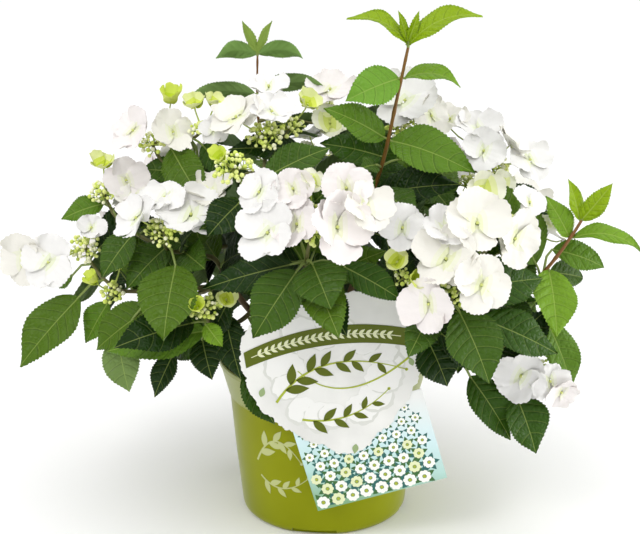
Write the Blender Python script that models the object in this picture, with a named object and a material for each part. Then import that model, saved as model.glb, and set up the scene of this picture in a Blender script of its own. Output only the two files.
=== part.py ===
"""A potted garland hydrangea: pot, compost, pruned canes, flowering sprays and a blank hang tag.

Lengths are in millimetres and angles in degrees, and become metres as each mesh is made.
The origin is the centre of the pot's flat underside, +Z is up and -Y is the front.
A bearing is measured from +X toward +Y, and a pitch is the rise above level.
"""
import math
import random
from collections import namedtuple

import bmesh
import bpy
from mathutils import Matrix, Vector
from mathutils.bvhtree import BVHTree

MM = 0.001
UP = Vector((0, 0, 1))
ALONGSIDE = 0.05        # a leaning shorter than this gives no direction
SEAT_GAP = 0.35         # clear space where two solids meet
CLEARANCE = 0.7         # clear space round leaves, twigs and flowers of other sprays

# pot and compost
POT_HEIGHT = 146
RIM_RADIUS = 95.5
FOOT_RADIUS = 75.5
COLLAR_HEIGHT = 113     # where the flared collar starts
COLLAR_RADIUS = 86
WALL = 1.8
FLOOR = 3
POT_SIDES = 32
NOTCH_COUNT = 4         # drain notches in the bottom edge
NOTCH_WIDTH = 40
NOTCH_HEIGHT = 5
NOTCH_DEPTH = 7
FIRST_NOTCH_BEARING = -97
COMPOST_TOP = 132

# crown: the short stump that the canes leave
CANE_COUNT = 9          # round the stump; a tenth stands on top
STUMP_FLARE = (20, 0)   # radius and height of each ring
STUMP_WAIST = (17.5, 5)
STUMP_TOP = (10.5, 17)

# canes
CANE_FOOT_RADIUS = 3.9
CANE_TIP_RADIUS = 2.9
KNOB_RADIUS = 4.6       # the swollen node where the shoots leave
CANE_SIDES = 5
SEAT_LENGTH = 3         # how far a limb runs straight out from its seat

# shoots, leaves and flowers
TWIG_SIDES = 3
STEM_RADIUS = (2.3, 1.8)
STALK_RADIUS = (1.7, 1.3)
PETIOLE_RADIUS = 1.1
PEDICEL_RADIUS = 0.8
LEAF_THICKNESS = 1.3
SHORTEST_STALK = 7
CURVE_PULL = 0.38       # how far a curve keeps to its first and last way, per unit of its span
ROOT_DEPTH = 1.2        # how far behind its place on the twig a stalk starts
ROOT_SCATTER = 0.4
LEAF_FOLD = 0.22        # how far the blade's edges lift, per unit of half width
BLADE_LEAN = (0.3, 0.8, 0.6)    # how strongly a blade's upper side turns outward, to the front and up
WIDEST_POWER = 0.8      # below 1 the blade is widest nearer its foot
FULLNESS = 0.85         # below 1 the blade's outline is fuller
NAMED_BLADE = (0.3, 0.62)       # where the blade's width is drawn, as shares of its length
FILLING_BLADE = (0.42,)
FLORET_THICKNESS = 1.2
SEPAL_REACH = (0.5, 0.34)       # to a sepal's tip and to the notch beside it, per unit of floret width
SEPAL_CUP = (0.07, 0.03)        # how far each of those is lifted
RADIAL_TILT = 0.35      # how far a floret turns outward from its head
FLORET_RISE = 6         # of a floret's centre above the buds, at the hub
FLORET_FALL = 0.25      # how far florets sink per unit of reach
BUD_DEPTH = 0.45        # of the dome of buds, per unit of its radius
NODE_SPACING = 24       # between leaf pairs on a shoot
FIRST_NODE = (8, 16)    # from the shoot's tip to its first pair
LEAF_LENGTHS = (58, 86)
PETIOLE_LENGTHS = (9, 15)
LEAF_PROPORTION = 0.56  # width per unit of length
LEAF_TRIES = ((0, 1), (30, 1), (-30, 1), (60, 0.8), (-60, 0.8), (0, 0.7))   # twist, share of length
FLOWER_SPACE = (75, 0.55)       # no filling leaf this near a floret, within this cosine of its facing

# ways to join a spray, in turn until the result is closed: solver, and the edge length to close up
UNION_TRIES = (('EXACT', 0.01), ('EXACT', 0.001), ('MANIFOLD', 0.01), ('MANIFOLD', 0.001))

# the crown's outline, which filling leaves keep inside
SEED = 7
PLANT_MIDDLE = Vector((0, 25, 165))
CROWN_REACH = Vector((255, 240, 195))
FRONT_UNDERSIDE = 150   # lowest leaf tip before the pot and its tag
BACK_UNDERSIDE = 105

Cane = namedtuple("Cane", "bearing tip")
Spray = namedtuple("Spray", "cane stem heads leaves extra", defaults=((), (), 7))
Head = namedtuple("Head", "hub bearing pitch span florets")
Leaf = namedtuple("Leaf", "foot bearing pitch length width arch turn", defaults=(12, 0))
Twig = namedtuple("Twig", "route radii")
Solid = namedtuple("Solid", "points faces")
Organ = namedtuple("Organ", "kind solid tree low high")

CANES = {
    "front_cane": Cane(-90, (-5, -55, 225)),
    "right_front_cane": Cane(-50, (60, -50, 205)),
    "right_cane": Cane(-10, (85, -5, 215)),
    "right_back_cane": Cane(30, (65, 40, 235)),
    "back_right_cane": Cane(70, (35, 85, 215)),
    "back_left_cane": Cane(110, (-35, 80, 230)),
    "left_back_cane": Cane(150, (-55, 35, 240)),
    "left_cane": Cane(190, (-85, -5, 215)),
    "left_front_cane": Cane(230, (-60, -50, 205)),
    "centre_cane": Cane(None, (15, 10, 240)),
}

# Each floret: clock hour round the head as seen from in front of it, reach from the hub, width.
SPRAYS = {
    "left_low_spray": Spray(
        "left_cane", [(-130, -30, 215), (-180, -30, 215)],
        [Head((-210, -15, 250), -100, 25, 15, [(8, 32, 48), (8.5, 54, 46), (1, 18, 26)]),
         Head((-185, -35, 215), -100, 40, 11, [(9.5, 12, 14), (12.5, 20, 14)])],
        [Leaf((-215, -30, 210), -155, -45, 80, 46, arch=8),
         Leaf((-190, -30, 205), -165, -60, 42, 28, 8),
         Leaf((-225, 0, 220), 160, -45, 20, 14)]),
    "left_mid_spray": Spray(
        "left_cane", [(-100, -10, 240), (-135, -40, 255)],
        [Head((-195, 5, 295), -110, 45, 14, [(12, 18, 22), (2.5, 26, 40), (3.5, 38, 34)]),
         Head((-135, -65, 280), -100, 50, 17, [(9, 20, 42), (12, 22, 38), (2.5, 26, 54), (1.5, 50, 40)])],
        [Leaf((-195, 5, 285), -175, -20, 40, 24, 18),
         Leaf((-165, -40, 270), -140, -45, 46, 32),
         Leaf((-135, -40, 260), -150, -40, 52, 36),
         Leaf((-125, -80, 255), -100, -50, 68, 54, arch=10)]),
    "left_front_spray": Spray(
        "left_front_cane", [(-75, -70, 200), (-95, -80, 200)],
        [Head((-100, -90, 220), -90, 45, 14, [(7, 10, 14), (3, 18, 18)])],
        [Leaf((-100, -90, 200), 172, -15, 90, 40, 10),
         Leaf((-150, -60, 210), 170, -40, 65, 40),
         Leaf((-180, -50, 180), -45, -75, 50, 36),
         Leaf((-130, -60, 170), -165, -65, 45, 24, arch=8),
         Leaf((-105, -70, 185), -60, -60, 36, 28),
         Leaf((-85, -75, 210), -50, -68, 58, 30),
         Leaf((-68, -84, 160), -5, -62, 54, 28),
         Leaf((-80, -80, 225), 160, -65, 40, 28),
         Leaf((-100, -96, 208), -30, -45, 24, 18, arch=8)]),
    "left_top_spray": Spray(
        "left_back_cane", [(-85, 15, 275), (-110, 0, 300)],
        [Head((-150, 0, 340), -105, 45, 12, [(9.5, 14, 40), (2.5, 22, 38), (12.5, 40, 18)]),
         Head((-105, -10, 355), -100, 60, 12, [(11, 16, 20), (1, 18, 22), (4.5, 20, 26)])],
        [Leaf((-120, 0, 314), 178, 4, 42, 26),
         Leaf((-110, -5, 330), -75, -40, 34, 26),
         Leaf((-120, 5, 320), -155, -65, 34, 26)]),
    "top_left_spray": Spray(
        "front_cane", [(-30, -55, 270), (-50, -50, 305)],
        [Head((-50, -35, 355), -95, 50, 17, [(9.5, 24, 48), (1, 12, 38), (12, 44, 34)]),
         Head((-30, -20, 360), -80, 60, 14, [(2, 18, 22)]),
         Head((-75, -85, 340), -100, 55, 18, [(7, 10, 14)])],
        [Leaf((-50, -80, 330), 20, 20, 62, 32, arch=15),
         Leaf((-20, -20, 340), -160, 5, 65, 28),
         Leaf((-70, -80, 310), -150, -40, 40, 34)]),
    "back_shoot": Spray(
        "back_left_cane", [(-50, 85, 285), (-60, 75, 345), (-60, 70, 405)],
        [Head((5, 65, 350), -80, 40, 16, [(12, 18, 46), (6.5, 16, 32)])],
        [Leaf((-60, 70, 407), -168, -4, 38, 19, 52, 22),
         Leaf((-60, 70, 407), -12, -4, 42, 19, 52, -22),
         Leaf((-60, 70, 408), -170, 65, 32, 10, 5),
         Leaf((-60, 70, 408), -10, 65, 32, 10, 5),
         Leaf((-62, 70, 370), -165, 0, 62, 20, 34, 22),
         Leaf((-58, 70, 374), -10, 6, 58, 20, 34, -22)]),
    "centre_spray": Spray(
        "front_cane", [(-10, -90, 245), (-15, -120, 270)],
        [Head((-10, -130, 305), -90, 25, 18,
              [(8.5, 36, 50), (8.5, 12, 42), (3.5, 20, 56), (11, 30, 34), (12, 32, 22),
               (10, 48, 38), (1.5, 38, 42), (2.5, 44, 44)])],
        [Leaf((-22, -135, 268), -165, -56, 66, 44),
         Leaf((-25, -130, 272), 165, -20, 82, 30, arch=10),
         Leaf((-10, -138, 275), -60, -45, 42, 46),
         Leaf((15, -130, 270), -5, -30, 56, 28),
         Leaf((-20, -110, 268), 170, -10, 50, 36)]),
    "tall_shoot": Spray(
        "centre_cane", [(35, -10, 280), (50, -25, 330), (60, -30, 380), (70, -30, 430)], (),
        [Leaf((45, -20, 300), -20, 12, 76, 38, arch=15),
         Leaf((50, -25, 335), 180, 12, 55, 32, arch=15),
         Leaf((56, -28, 350), -25, -15, 80, 44, 18),
         Leaf((52, -28, 352), -170, 28, 60, 32, 15),
         Leaf((63, -30, 404), -165, -20, 50, 36, 20),
         Leaf((67, -30, 404), -5, -8, 48, 28, 38, -30),
         Leaf((70, -30, 432), 180, 24, 56, 26, 36, 30),
         Leaf((70, -30, 432), 0, 22, 66, 28, 36, -30),
         Leaf((70, -30, 434), 175, 72, 28, 9, 5),
         Leaf((70, -30, 434), -5, 72, 28, 9, 5)]),
    "top_right_spray": Spray(
        "right_back_cane", [(85, 25, 260), (105, 15, 285)],
        [Head((70, 35, 350), -80, 35, 16, [(12, 14, 60), (3, 22, 36)]),
         Head((150, 25, 315), -70, 50, 15,
              [(11, 56, 34), (11.5, 32, 44), (9.5, 14, 40), (2, 18, 40), (3.5, 30, 40),
               (6.5, 32, 24)])],
        [Leaf((90, 0, 305), -45, -35, 38, 28),
         Leaf((155, 0, 300), -15, -25, 48, 28)]),
    "right_front_spray": Spray(
        "right_front_cane", [(75, -80, 215), (95, -105, 225)],
        [Head((110, -120, 250), -90, 20, 18,
              [(11, 24, 54), (8, 30, 46), (12.5, 52, 52), (11.5, 48, 38), (10.5, 66, 40), (3, 16, 46)]),
         Head((150, -65, 285), -60, 30, 15, [(6.5, 16, 50), (11, 34, 32), (2, 26, 32)]),
         Head((65, -115, 255), -90, 30, 9, [(11, 12, 20), (4.5, 8, 16)])],
        [Leaf((110, -125, 230), -50, -55, 64, 50, arch=14),
         Leaf((130, -110, 218), 10, -28, 76, 38),
         Leaf((90, -110, 210), 0, -40, 65, 30),
         Leaf((85, -105, 200), -20, -65, 46, 42)]),
    "right_shoot": Spray(
        "right_cane", [(120, -40, 205), (160, -42, 210), (190, -45, 238), (212, -38, 266), (222, -32, 280)], (),
        [Leaf((221, -32, 280), 165, 72, 38, 16, 8),
         Leaf((222, -32, 280), -8, 54, 42, 20, 8),
         Leaf((212, -36, 266), 168, 58, 42, 24, 10),
         Leaf((214, -36, 266), -6, -12, 62, 24, 40, -25),
         Leaf((198, -32, 254), 10, -22, 52, 28, 22),
         Leaf((194, -45, 240), -85, -50, 62, 42, 10),
         Leaf((160, -45, 222), 15, 50, 36, 28)]),
    "right_low_spray": Spray(
        "right_front_cane", [(85, -75, 180), (120, -80, 165), (150, -78, 158)],
        [Head((180, -70, 160), -80, 10, 14, [(8.5, 16, 44), (4.5, 14, 36), (4.5, 30, 30)])],
        [Leaf((193, -60, 196), -15, -68, 64, 34),
         Leaf((125, -80, 155), -20, -55, 66, 38),
         Leaf((165, -80, 138), -40, -65, 54, 42)]),
    "middle_spray": Spray("centre_cane", [(-5, 35, 265), (-20, 45, 300)]),
    "left_skirt_spray": Spray("left_cane", [(-120, 15, 195), (-150, 30, 172)]),
    "right_skirt_spray": Spray("right_cane", [(120, 10, 190), (150, 25, 170)]),
    "back_skirt_spray": Spray("back_right_cane", [(20, 120, 190), (10, 150, 170)]),
    "left_side_spray": Spray(
        "left_back_cane", [(-105, 50, 230), (-150, 55, 225)],
        [Head((-178, 60, 240), 165, 40, 18, [(8, 30, 46), (12, 32, 50), (4, 30, 48)])]),
    "back_centre_spray": Spray(
        "back_right_cane", [(25, 125, 235), (15, 165, 255)],
        [Head((5, 190, 270), 90, 40, 20, [(8, 34, 60), (11, 30, 50), (1, 38, 56), (4, 32, 48)])]),
    "back_right_spray": Spray(
        "right_back_cane", [(95, 85, 235), (125, 120, 245)],
        [Head((145, 140, 262), 45, 45, 20, [(9, 34, 56), (12, 30, 50), (3, 36, 58), (6, 30, 44)])]),
    "right_side_spray": Spray(
        "right_cane", [(130, 25, 225), (165, 40, 230)],
        [Head((190, 50, 245), 10, 40, 18, [(8, 30, 46), (12, 32, 50), (4, 30, 48)])]),
    "back_low_right_spray": Spray(
        "back_right_cane", [(65, 120, 200), (95, 160, 195)],
        [Head((112, 190, 200), 60, 25, 18, [(7, 30, 50), (10, 32, 46), (2, 34, 52)])]),
    "back_low_left_spray": Spray(
        "back_left_cane", [(-55, 120, 205), (-70, 165, 200)],
        [Head((-82, 195, 205), 100, 25, 18, [(8, 32, 52), (12, 30, 46), (4, 32, 48)])]),
    "back_left_spray": Spray(
        "back_left_cane", [(-75, 95, 240), (-115, 120, 246)],
        [Head((-140, 135, 262), 135, 45, 20, [(9, 34, 56), (12, 30, 48), (3, 36, 58), (6, 30, 46)])]),
}


# ---------------------------------------------------------------- directions and routes

def unit(bearing, pitch):
    """The unit vector with this bearing and pitch."""
    turn, rise = math.radians(bearing), math.radians(pitch)
    return Vector((math.cos(rise) * math.cos(turn), math.cos(rise) * math.sin(turn), math.sin(rise)))


def across(direction, toward):
    """The unit vector square to a direction that leans most toward the given one."""
    leaning = toward - direction * toward.dot(direction)
    if leaning.length < ALONGSIDE:
        leaning = direction.orthogonal()
    return leaning.normalized()


def bezier(start, start_way, end, end_way, steps):
    """A curved route that leaves start along start_way and arrives at end along end_way."""
    pull = (end - start).length * CURVE_PULL
    near, far = start + start_way * pull, end - end_way * pull
    route = []
    for step in range(steps + 1):
        t = step / steps
        route.append(start * (1 - t) ** 3 + near * 3 * t * (1 - t) ** 2
                     + far * 3 * t * t * (1 - t) + end * t ** 3)
    return route


def smooth_route(stations, steps):
    """A curve through every station, with this many steps between two of them (Catmull-Rom)."""
    padded = [stations[0] * 2 - stations[1]] + stations + [stations[-1] * 2 - stations[-2]]
    route = [stations[0]]
    for before, start, end, after in zip(padded, padded[1:], padded[2:], padded[3:]):
        for step in range(1, steps + 1):
            t = step / steps
            route.append((start * 2 + (end - before) * t
                          + (before * 2 - start * 5 + end * 4 - after) * t * t
                          + (start * 3 - before - end * 3 + after) * t ** 3) / 2)
    return route


def headings(route):
    """The direction of travel at each point of a route."""
    ways = []
    for index, _ in enumerate(route):
        before, after = route[max(index - 1, 0)], route[min(index + 1, len(route) - 1)]
        ways.append((after - before).normalized())
    return ways


# ---------------------------------------------------------------- closed solids from rings

def bridge(ring_a, ring_b):
    """Triangles between two rings of point numbers, which may differ in count."""
    faces = []
    a = b = 0
    while a < len(ring_a) or b < len(ring_b):
        next_a = (a + 1) / len(ring_a) if a < len(ring_a) > 1 else math.inf
        next_b = (b + 1) / len(ring_b) if b < len(ring_b) > 1 else math.inf
        if next_a == next_b == math.inf:
            break
        here_a, here_b = ring_a[a % len(ring_a)], ring_b[b % len(ring_b)]
        if next_a <= next_b:
            faces.append((here_a, ring_a[(a + 1) % len(ring_a)], here_b))
            a += 1
        else:
            faces.append((here_a, ring_b[(b + 1) % len(ring_b)], here_b))
            b += 1
    return faces


def loft(rings):
    """A closed solid through rings of points; a ring of one point is a tip."""
    points, numbers = [], []
    for ring in rings:
        numbers.append(list(range(len(points), len(points) + len(ring))))
        points.extend(ring)
    faces = []
    for ring_a, ring_b in zip(numbers, numbers[1:]):
        faces.extend(bridge(ring_a, ring_b))
    if len(numbers[0]) > 2:
        faces.append(tuple(reversed(numbers[0])))
    if len(numbers[-1]) > 2:
        faces.append(tuple(numbers[-1]))
    return Solid(points, faces)


def circle(centre, side, front, radius, count, first=0.0):
    """A ring of points, turning from side toward front."""
    ring = []
    for index in range(count):
        turn = math.radians(first) + math.tau * index / count
        ring.append(centre + side * (radius * math.cos(turn)) + front * (radius * math.sin(turn)))
    return ring


def tube_rings(route, radii, sides, toward=UP, first=90):
    """Rings of a tube along a route, each with its own radius."""
    rings = []
    for point, way, radius in zip(route, headings(route), radii):
        front = across(way, toward)
        toward = front
        rings.append(circle(point, front.cross(way), front, radius, sides, first))
    return rings


def tapered(radii, count):
    """Radii that change evenly from the first to the last of a pair."""
    return [radii[0] + (radii[1] - radii[0]) * index / (count - 1) for index in range(count)]


def turned(profile, sides, first=0.0):
    """A closed solid turned about the Z axis from (radius, height) pairs."""
    rings = []
    for radius, height in profile:
        middle = Vector((0, 0, height))
        side, front = Vector((1, 0, 0)), Vector((0, 1, 0))
        rings.append([middle] if radius == 0 else circle(middle, side, front, radius, sides, first))
    return loft(rings)


# ---------------------------------------------------------------- leaves and flowers

def leaf_axes(leaf):
    """The way a blade points, its left side and its upper side."""
    ahead = unit(leaf.bearing, leaf.pitch)
    foot = Vector(leaf.foot)
    outward = Vector((foot.x, foot.y - PLANT_MIDDLE.y, 0)).normalized()
    sideways, frontward, upward = BLADE_LEAN
    if foot.y < PLANT_MIDDLE.y:
        frontward = -frontward
    upper = across(ahead, Vector((sideways * outward.x, frontward, upward)))
    upper = Matrix.Rotation(math.radians(leaf.turn), 3, ahead) @ upper
    return ahead, upper.cross(ahead), upper


def half_width(leaf, along):
    """Half the blade's width at a fraction of its length."""
    return leaf.width / 2 * math.sin(math.pi * along ** WIDEST_POWER) ** FULLNESS


def leaf_point(leaf, axes, along, across_blade):
    """A point of the blade: along runs from foot 0 to tip 1, across_blade from left -1 to right 1."""
    ahead, left, upper = axes
    crown = leaf.length * math.tan(math.radians(leaf.arch)) * along * (1 - along)
    half = half_width(leaf, along) if 0 < along < 1 else 0
    lift = crown + LEAF_FOLD * half * abs(across_blade)
    return Vector(leaf.foot) + ahead * (leaf.length * along) - left * (half * across_blade) + upper * lift


def leaf_solid(leaf, stalk_route, blade_stations, swell=0.0):
    """A blade and its stalk as one closed solid; swell thickens it all round."""
    axes = leaf_axes(leaf)
    ahead, left, upper = axes
    radii = [PETIOLE_RADIUS + swell] * len(stalk_route)
    rings = tube_rings(stalk_route[:-1], radii, TWIG_SIDES, upper)
    rings.append(circle(Vector(leaf.foot), left, upper, PETIOLE_RADIUS + swell, TWIG_SIDES, 90))
    thick = LEAF_THICKNESS / 2 + swell
    for along in blade_stations:
        middle = leaf_point(leaf, axes, along, 0)
        left_edge = leaf_point(leaf, axes, along, -1) + left * swell
        right_edge = leaf_point(leaf, axes, along, 1) - left * swell
        rings.append([middle + upper * thick, right_edge, middle - upper * thick, left_edge])
    rings.append([leaf_point(leaf, axes, 1, 0) + ahead * swell])
    return loft(rings)


def floret_solid(centre, facing, width, root, first, swell=0.0):
    """Four sepals and their stalk as one closed solid."""
    side = across(facing, UP).cross(facing)
    front = facing.cross(side)
    stalk_way = (centre - root).normalized()
    rings = [circle(root, across(stalk_way, front).cross(stalk_way), across(stalk_way, front),
                    PEDICEL_RADIUS + swell, TWIG_SIDES, first)]
    under = centre - facing * (FLORET_THICKNESS + swell)
    rings.append(circle(under, side, front, PEDICEL_RADIUS * 1.6 + swell, TWIG_SIDES, first))
    outline = []
    for index in range(8):
        reach = width * SEPAL_REACH[index % 2] + swell
        cup = facing * (width * SEPAL_CUP[index % 2])
        turn = math.radians(first + 45 * index)
        outline.append(centre + cup + side * (reach * math.cos(turn)) + front * (reach * math.sin(turn)))
    rings.append(outline)
    rings.append([centre + facing * (FLORET_THICKNESS / 2 + swell)])
    return loft(rings)


def bud_cluster_solid(hub, facing, span, swell=0.0):
    """The low dome of small buds in the middle of a flower head."""
    side = across(facing, UP).cross(facing)
    front = facing.cross(side)
    depth = span * BUD_DEPTH
    return loft([
        [hub - facing * (depth * 0.6 + swell)],
        circle(hub, side, front, span + swell, 6),
        circle(hub + facing * depth * 0.7, side, front, span * 0.6 + swell, 6, 30),
        [hub + facing * (depth + swell)],
    ])


# ---------------------------------------------------------------- keeping solids apart

def tree_of(solid):
    return BVHTree.FromPolygons(solid.points, solid.faces)


def organ(kind, solid):
    """A finished piece with its search tree and its box."""
    low = Vector(min(p[axis] for p in solid.points) for axis in range(3))
    high = Vector(max(p[axis] for p in solid.points) for axis in range(3))
    return Organ(kind, solid, tree_of(solid), low, high)


def is_clear(swollen, others):
    """Whether a thickened solid meets none of the other organs."""
    probe = organ("probe", swollen)
    for other in others:
        apart = any(probe.low[axis] > other.high[axis] or probe.high[axis] < other.low[axis]
                    for axis in range(3))
        if not apart and probe.tree.overlap(other.tree):
            return False
    return True


# ---------------------------------------------------------------- how a spray grows

def joining_route(twigs, end, end_way, steps):
    """Routes from places on the spray's own twigs to an end, the shortest first.

    No two roots lie in quite the same place, so that no two stalks meet edge to edge.
    """
    rng = random.Random(round(end.x * 7 + end.y * 5 + end.z * 3 + end_way.x * 11))
    places = []
    for twig in twigs:
        for point, way in zip(twig.route, headings(twig.route)):
            reach = end - point
            steep = max(0, 6 - reach.z)
            turning_back = max(0, SHORTEST_STALK - reach.dot(end_way))
            if reach.length > SHORTEST_STALK:
                places.append((reach.length + 0.5 * steep + 2 * turning_back, tuple(point), point, way))
    places.sort(key=lambda place: place[:2])
    for _, _, point, way in places[:6]:
        scatter = Vector(rng.uniform(-ROOT_SCATTER, ROOT_SCATTER) for _ in range(3))
        root = point - way * ROOT_DEPTH + scatter
        away = (end - root).normalized()
        yield bezier(root, (way + away).normalized(), end, end_way, steps)


def clear_stalk(hub, facing, twigs, others, name):
    """The first stalk from the spray's twigs to a hub that touches nothing else."""
    arrival = (facing + UP).normalized()
    for route in joining_route(twigs, hub, arrival, 3):
        radii = tapered(STALK_RADIUS, len(route))
        if is_clear(loft(tube_rings(route, [r + CLEARANCE for r in radii], TWIG_SIDES)), others):
            return Twig(route, radii)
    raise ValueError(f"{name}: no clear stalk to the head at {tuple(hub)}")


def grow_head(head, twigs, others, organs, faces, name):
    """A stalk, its dome of buds and the ring of florets round it."""
    facing = unit(head.bearing, head.pitch)
    hub = Vector(head.hub)
    stalk = clear_stalk(hub, facing, twigs, others, name)
    twigs.append(stalk)
    organs.append(organ("twig", loft(tube_rings(stalk.route, stalk.radii, TWIG_SIDES, first=25))))
    organs.append(organ("buds", bud_cluster_solid(hub, facing, head.span)))
    side = across(facing, UP).cross(facing)
    above = facing.cross(side)
    for index, (hour, reach, width) in enumerate(head.florets):
        turn = math.radians(30 * hour)
        radial = above * math.cos(turn) + side * math.sin(turn)
        centre = hub + radial * reach + facing * (head.span + FLORET_RISE - FLORET_FALL * reach)
        floret_facing = (facing + radial * RADIAL_TILT).normalized()
        root = hub + radial * (head.span * 0.3)
        first = 60 + 37 * index % 60
        if not is_clear(floret_solid(centre, floret_facing, width, root, first, CLEARANCE), others):
            raise ValueError(f"{name}: no room for the floret at {hour} o'clock round {head.hub}")
        organs.append(organ("floret", floret_solid(centre, floret_facing, width, root, first)))
        faces.append((centre, floret_facing))


def place_leaf(leaf, twigs, others, organs, name):
    """Joins a leaf to the nearest of the spray's twigs that it can reach."""
    ahead = unit(leaf.bearing, leaf.pitch)
    for route in joining_route(twigs, Vector(leaf.foot), ahead, 2):
        if is_clear(leaf_solid(leaf, route, NAMED_BLADE, CLEARANCE), others):
            organs.append(organ("leaf", leaf_solid(leaf, route, NAMED_BLADE)))
            return
    raise ValueError(f"{name}: no room for the leaf at {leaf.foot}")


def pair_leaf(node, way, radial, petiole, length):
    """One leaf of a pair: it leaves the shoot sideways and droops a little."""
    ahead = (way * 0.45 + radial - UP * 0.25).normalized()
    bearing = math.degrees(math.atan2(ahead.y, ahead.x))
    pitch = math.degrees(math.asin(max(-1, min(1, ahead.z))))
    foot = node + (way * 0.5 + radial).normalized() * petiole
    return Leaf(tuple(foot), bearing, pitch, length, length * LEAF_PROPORTION)


def leaf_pairs(twigs, rng):
    """Leaves in pairs down every shoot, each pair square to the last; each comes with alternatives."""
    for twig in twigs:
        roll = rng.uniform(0, math.pi)
        walked = rng.uniform(*FIRST_NODE)
        points = list(reversed(twig.route))
        for outer, inner in zip(points, points[1:]):
            stretch = (outer - inner).length
            way = (outer - inner).normalized()
            side = way.orthogonal().normalized()
            front = way.cross(side)
            while walked < stretch:
                node = outer - way * walked
                for half_turn in (0, math.pi):
                    length = rng.uniform(*LEAF_LENGTHS)
                    petiole = rng.uniform(*PETIOLE_LENGTHS)
                    choices = []
                    for twist, scale in LEAF_TRIES:
                        angle = roll + half_turn + math.radians(twist)
                        radial = side * math.cos(angle) + front * math.sin(angle)
                        choices.append(pair_leaf(node, way, radial, petiole, length * scale))
                    yield node, choices
                roll += math.pi / 2
                walked += NODE_SPACING
            walked -= stretch


def in_crown(leaf):
    """Whether a leaf's tip stays inside the crown's outline and above the ground under it."""
    tip = Vector(leaf.foot) + unit(leaf.bearing, leaf.pitch) * leaf.length
    offset = tip - PLANT_MIDDLE
    reach = sum((offset[axis] / CROWN_REACH[axis]) ** 2 for axis in range(3))
    return reach < 1 and tip.z > (FRONT_UNDERSIDE if tip.y < 0 else BACK_UNDERSIDE)


def hides_a_flower(leaf, faces):
    """Whether a leaf stands before the face of a floret."""
    middle = Vector(leaf.foot) + unit(leaf.bearing, leaf.pitch) * leaf.length * 0.6
    nearest, facing_share = FLOWER_SPACE
    for centre, facing in faces:
        toward = middle - centre
        if toward.length < nearest and toward.normalized().dot(facing) > facing_share:
            return True
    return False


# ---------------------------------------------------------------- pot, compost and stump

def inner_radius(height):
    """The radius of the pot's inner wall at a height."""
    if height < COLLAR_HEIGHT:
        outer = FOOT_RADIUS + (COLLAR_RADIUS - FOOT_RADIUS) * height / COLLAR_HEIGHT
    else:
        outer = COLLAR_RADIUS + (RIM_RADIUS - COLLAR_RADIUS) * (height - COLLAR_HEIGHT) / (
            POT_HEIGHT - COLLAR_HEIGHT)
    return outer - WALL


def pot_solid():
    profile = [
        (0, 0), (FOOT_RADIUS - 8, 0), (FOOT_RADIUS - 2, 2), (FOOT_RADIUS, 8),
        (COLLAR_RADIUS - 0.5, COLLAR_HEIGHT - 2), (COLLAR_RADIUS + 0.8, COLLAR_HEIGHT + 2),
        (RIM_RADIUS - 0.5, POT_HEIGHT - 1), (RIM_RADIUS - 1, POT_HEIGHT),
        (RIM_RADIUS - WALL, POT_HEIGHT), (inner_radius(COLLAR_HEIGHT), COLLAR_HEIGHT),
        (FOOT_RADIUS - 4, FLOOR + 6), (FOOT_RADIUS - 8, FLOOR), (0, FLOOR),
    ]
    return turned(profile, POT_SIDES)


def compost_solid():
    """The compost that fills the pot, flat in the middle where the stump stands."""
    gap = SEAT_GAP
    edge = COMPOST_TOP - 2
    profile = [
        (0, FLOOR + gap), (FOOT_RADIUS - 8 - gap, FLOOR + gap), (FOOT_RADIUS - 4 - gap, FLOOR + 6 + gap),
        (inner_radius(COLLAR_HEIGHT) - gap, COLLAR_HEIGHT), (inner_radius(edge) - gap, edge),
        (inner_radius(edge) - 12, COMPOST_TOP + 1), (45, COMPOST_TOP - 1),
        (26, COMPOST_TOP), (0, COMPOST_TOP),
    ]
    return turned(profile, POT_SIDES)


def stump_profile():
    foot = COMPOST_TOP + SEAT_GAP
    rings = [STUMP_FLARE, STUMP_WAIST, STUMP_TOP]
    return [(0, foot)] + [(radius, foot + height) for radius, height in rings] + [
        (0, foot + STUMP_TOP[1])]


def stump_solid():
    return turned(stump_profile(), CANE_COUNT, 180 / CANE_COUNT - 90)


def cane_foot(cane):
    """Where a cane leaves the stump, and which way: square to its own flat of the stump."""
    foot = COMPOST_TOP + SEAT_GAP
    if cane.bearing is None:
        return Vector((0, 0, foot + STUMP_TOP[1] + SEAT_GAP)), UP
    apothem = math.cos(math.pi / CANE_COUNT)
    run = (STUMP_WAIST[0] - STUMP_TOP[0]) * apothem
    rise = STUMP_TOP[1] - STUMP_WAIST[1]
    way = unit(cane.bearing, math.degrees(math.atan2(run, rise)))
    middle = unit(cane.bearing, 0) * ((STUMP_WAIST[0] + STUMP_TOP[0]) / 2 * apothem)
    middle.z = foot + (STUMP_WAIST[1] + STUMP_TOP[1]) / 2
    return middle + way * SEAT_GAP, way


def cane_rings(cane):
    """Rings of a tapering cane that ends in a swollen, pruned knob round its tip."""
    foot, way = cane_foot(cane)
    tip = Vector(cane.tip)
    tip_way = ((tip - foot).normalized() + UP * 0.4).normalized()
    neck = tip - tip_way * KNOB_RADIUS * 1.3
    route = [foot] + bezier(foot + way * SEAT_LENGTH, way, neck, tip_way, 4)
    radii = tapered((CANE_FOOT_RADIUS, CANE_TIP_RADIUS), len(route))
    for share_along, share_round in ((-0.45, 1), (0.45, 1), (1, 0.5)):
        route.append(tip + tip_way * KNOB_RADIUS * share_along)
        radii.append(KNOB_RADIUS * share_round)
    return tube_rings(route, radii, CANE_SIDES)


def shoot_start(cane, toward):
    """The first two points of a shoot: square to the knob and just clear of it, toward a point."""
    tip = Vector(cane.tip)
    way = (toward - tip).normalized()
    knob = [point for ring in cane_rings(cane)[-3:] for point in ring]
    reach = max((point - tip).dot(way) for point in knob)
    start = tip + way * (reach + SEAT_GAP)
    return [start, start + way * SEAT_LENGTH]


# ---------------------------------------------------------------- hang tag

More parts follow.
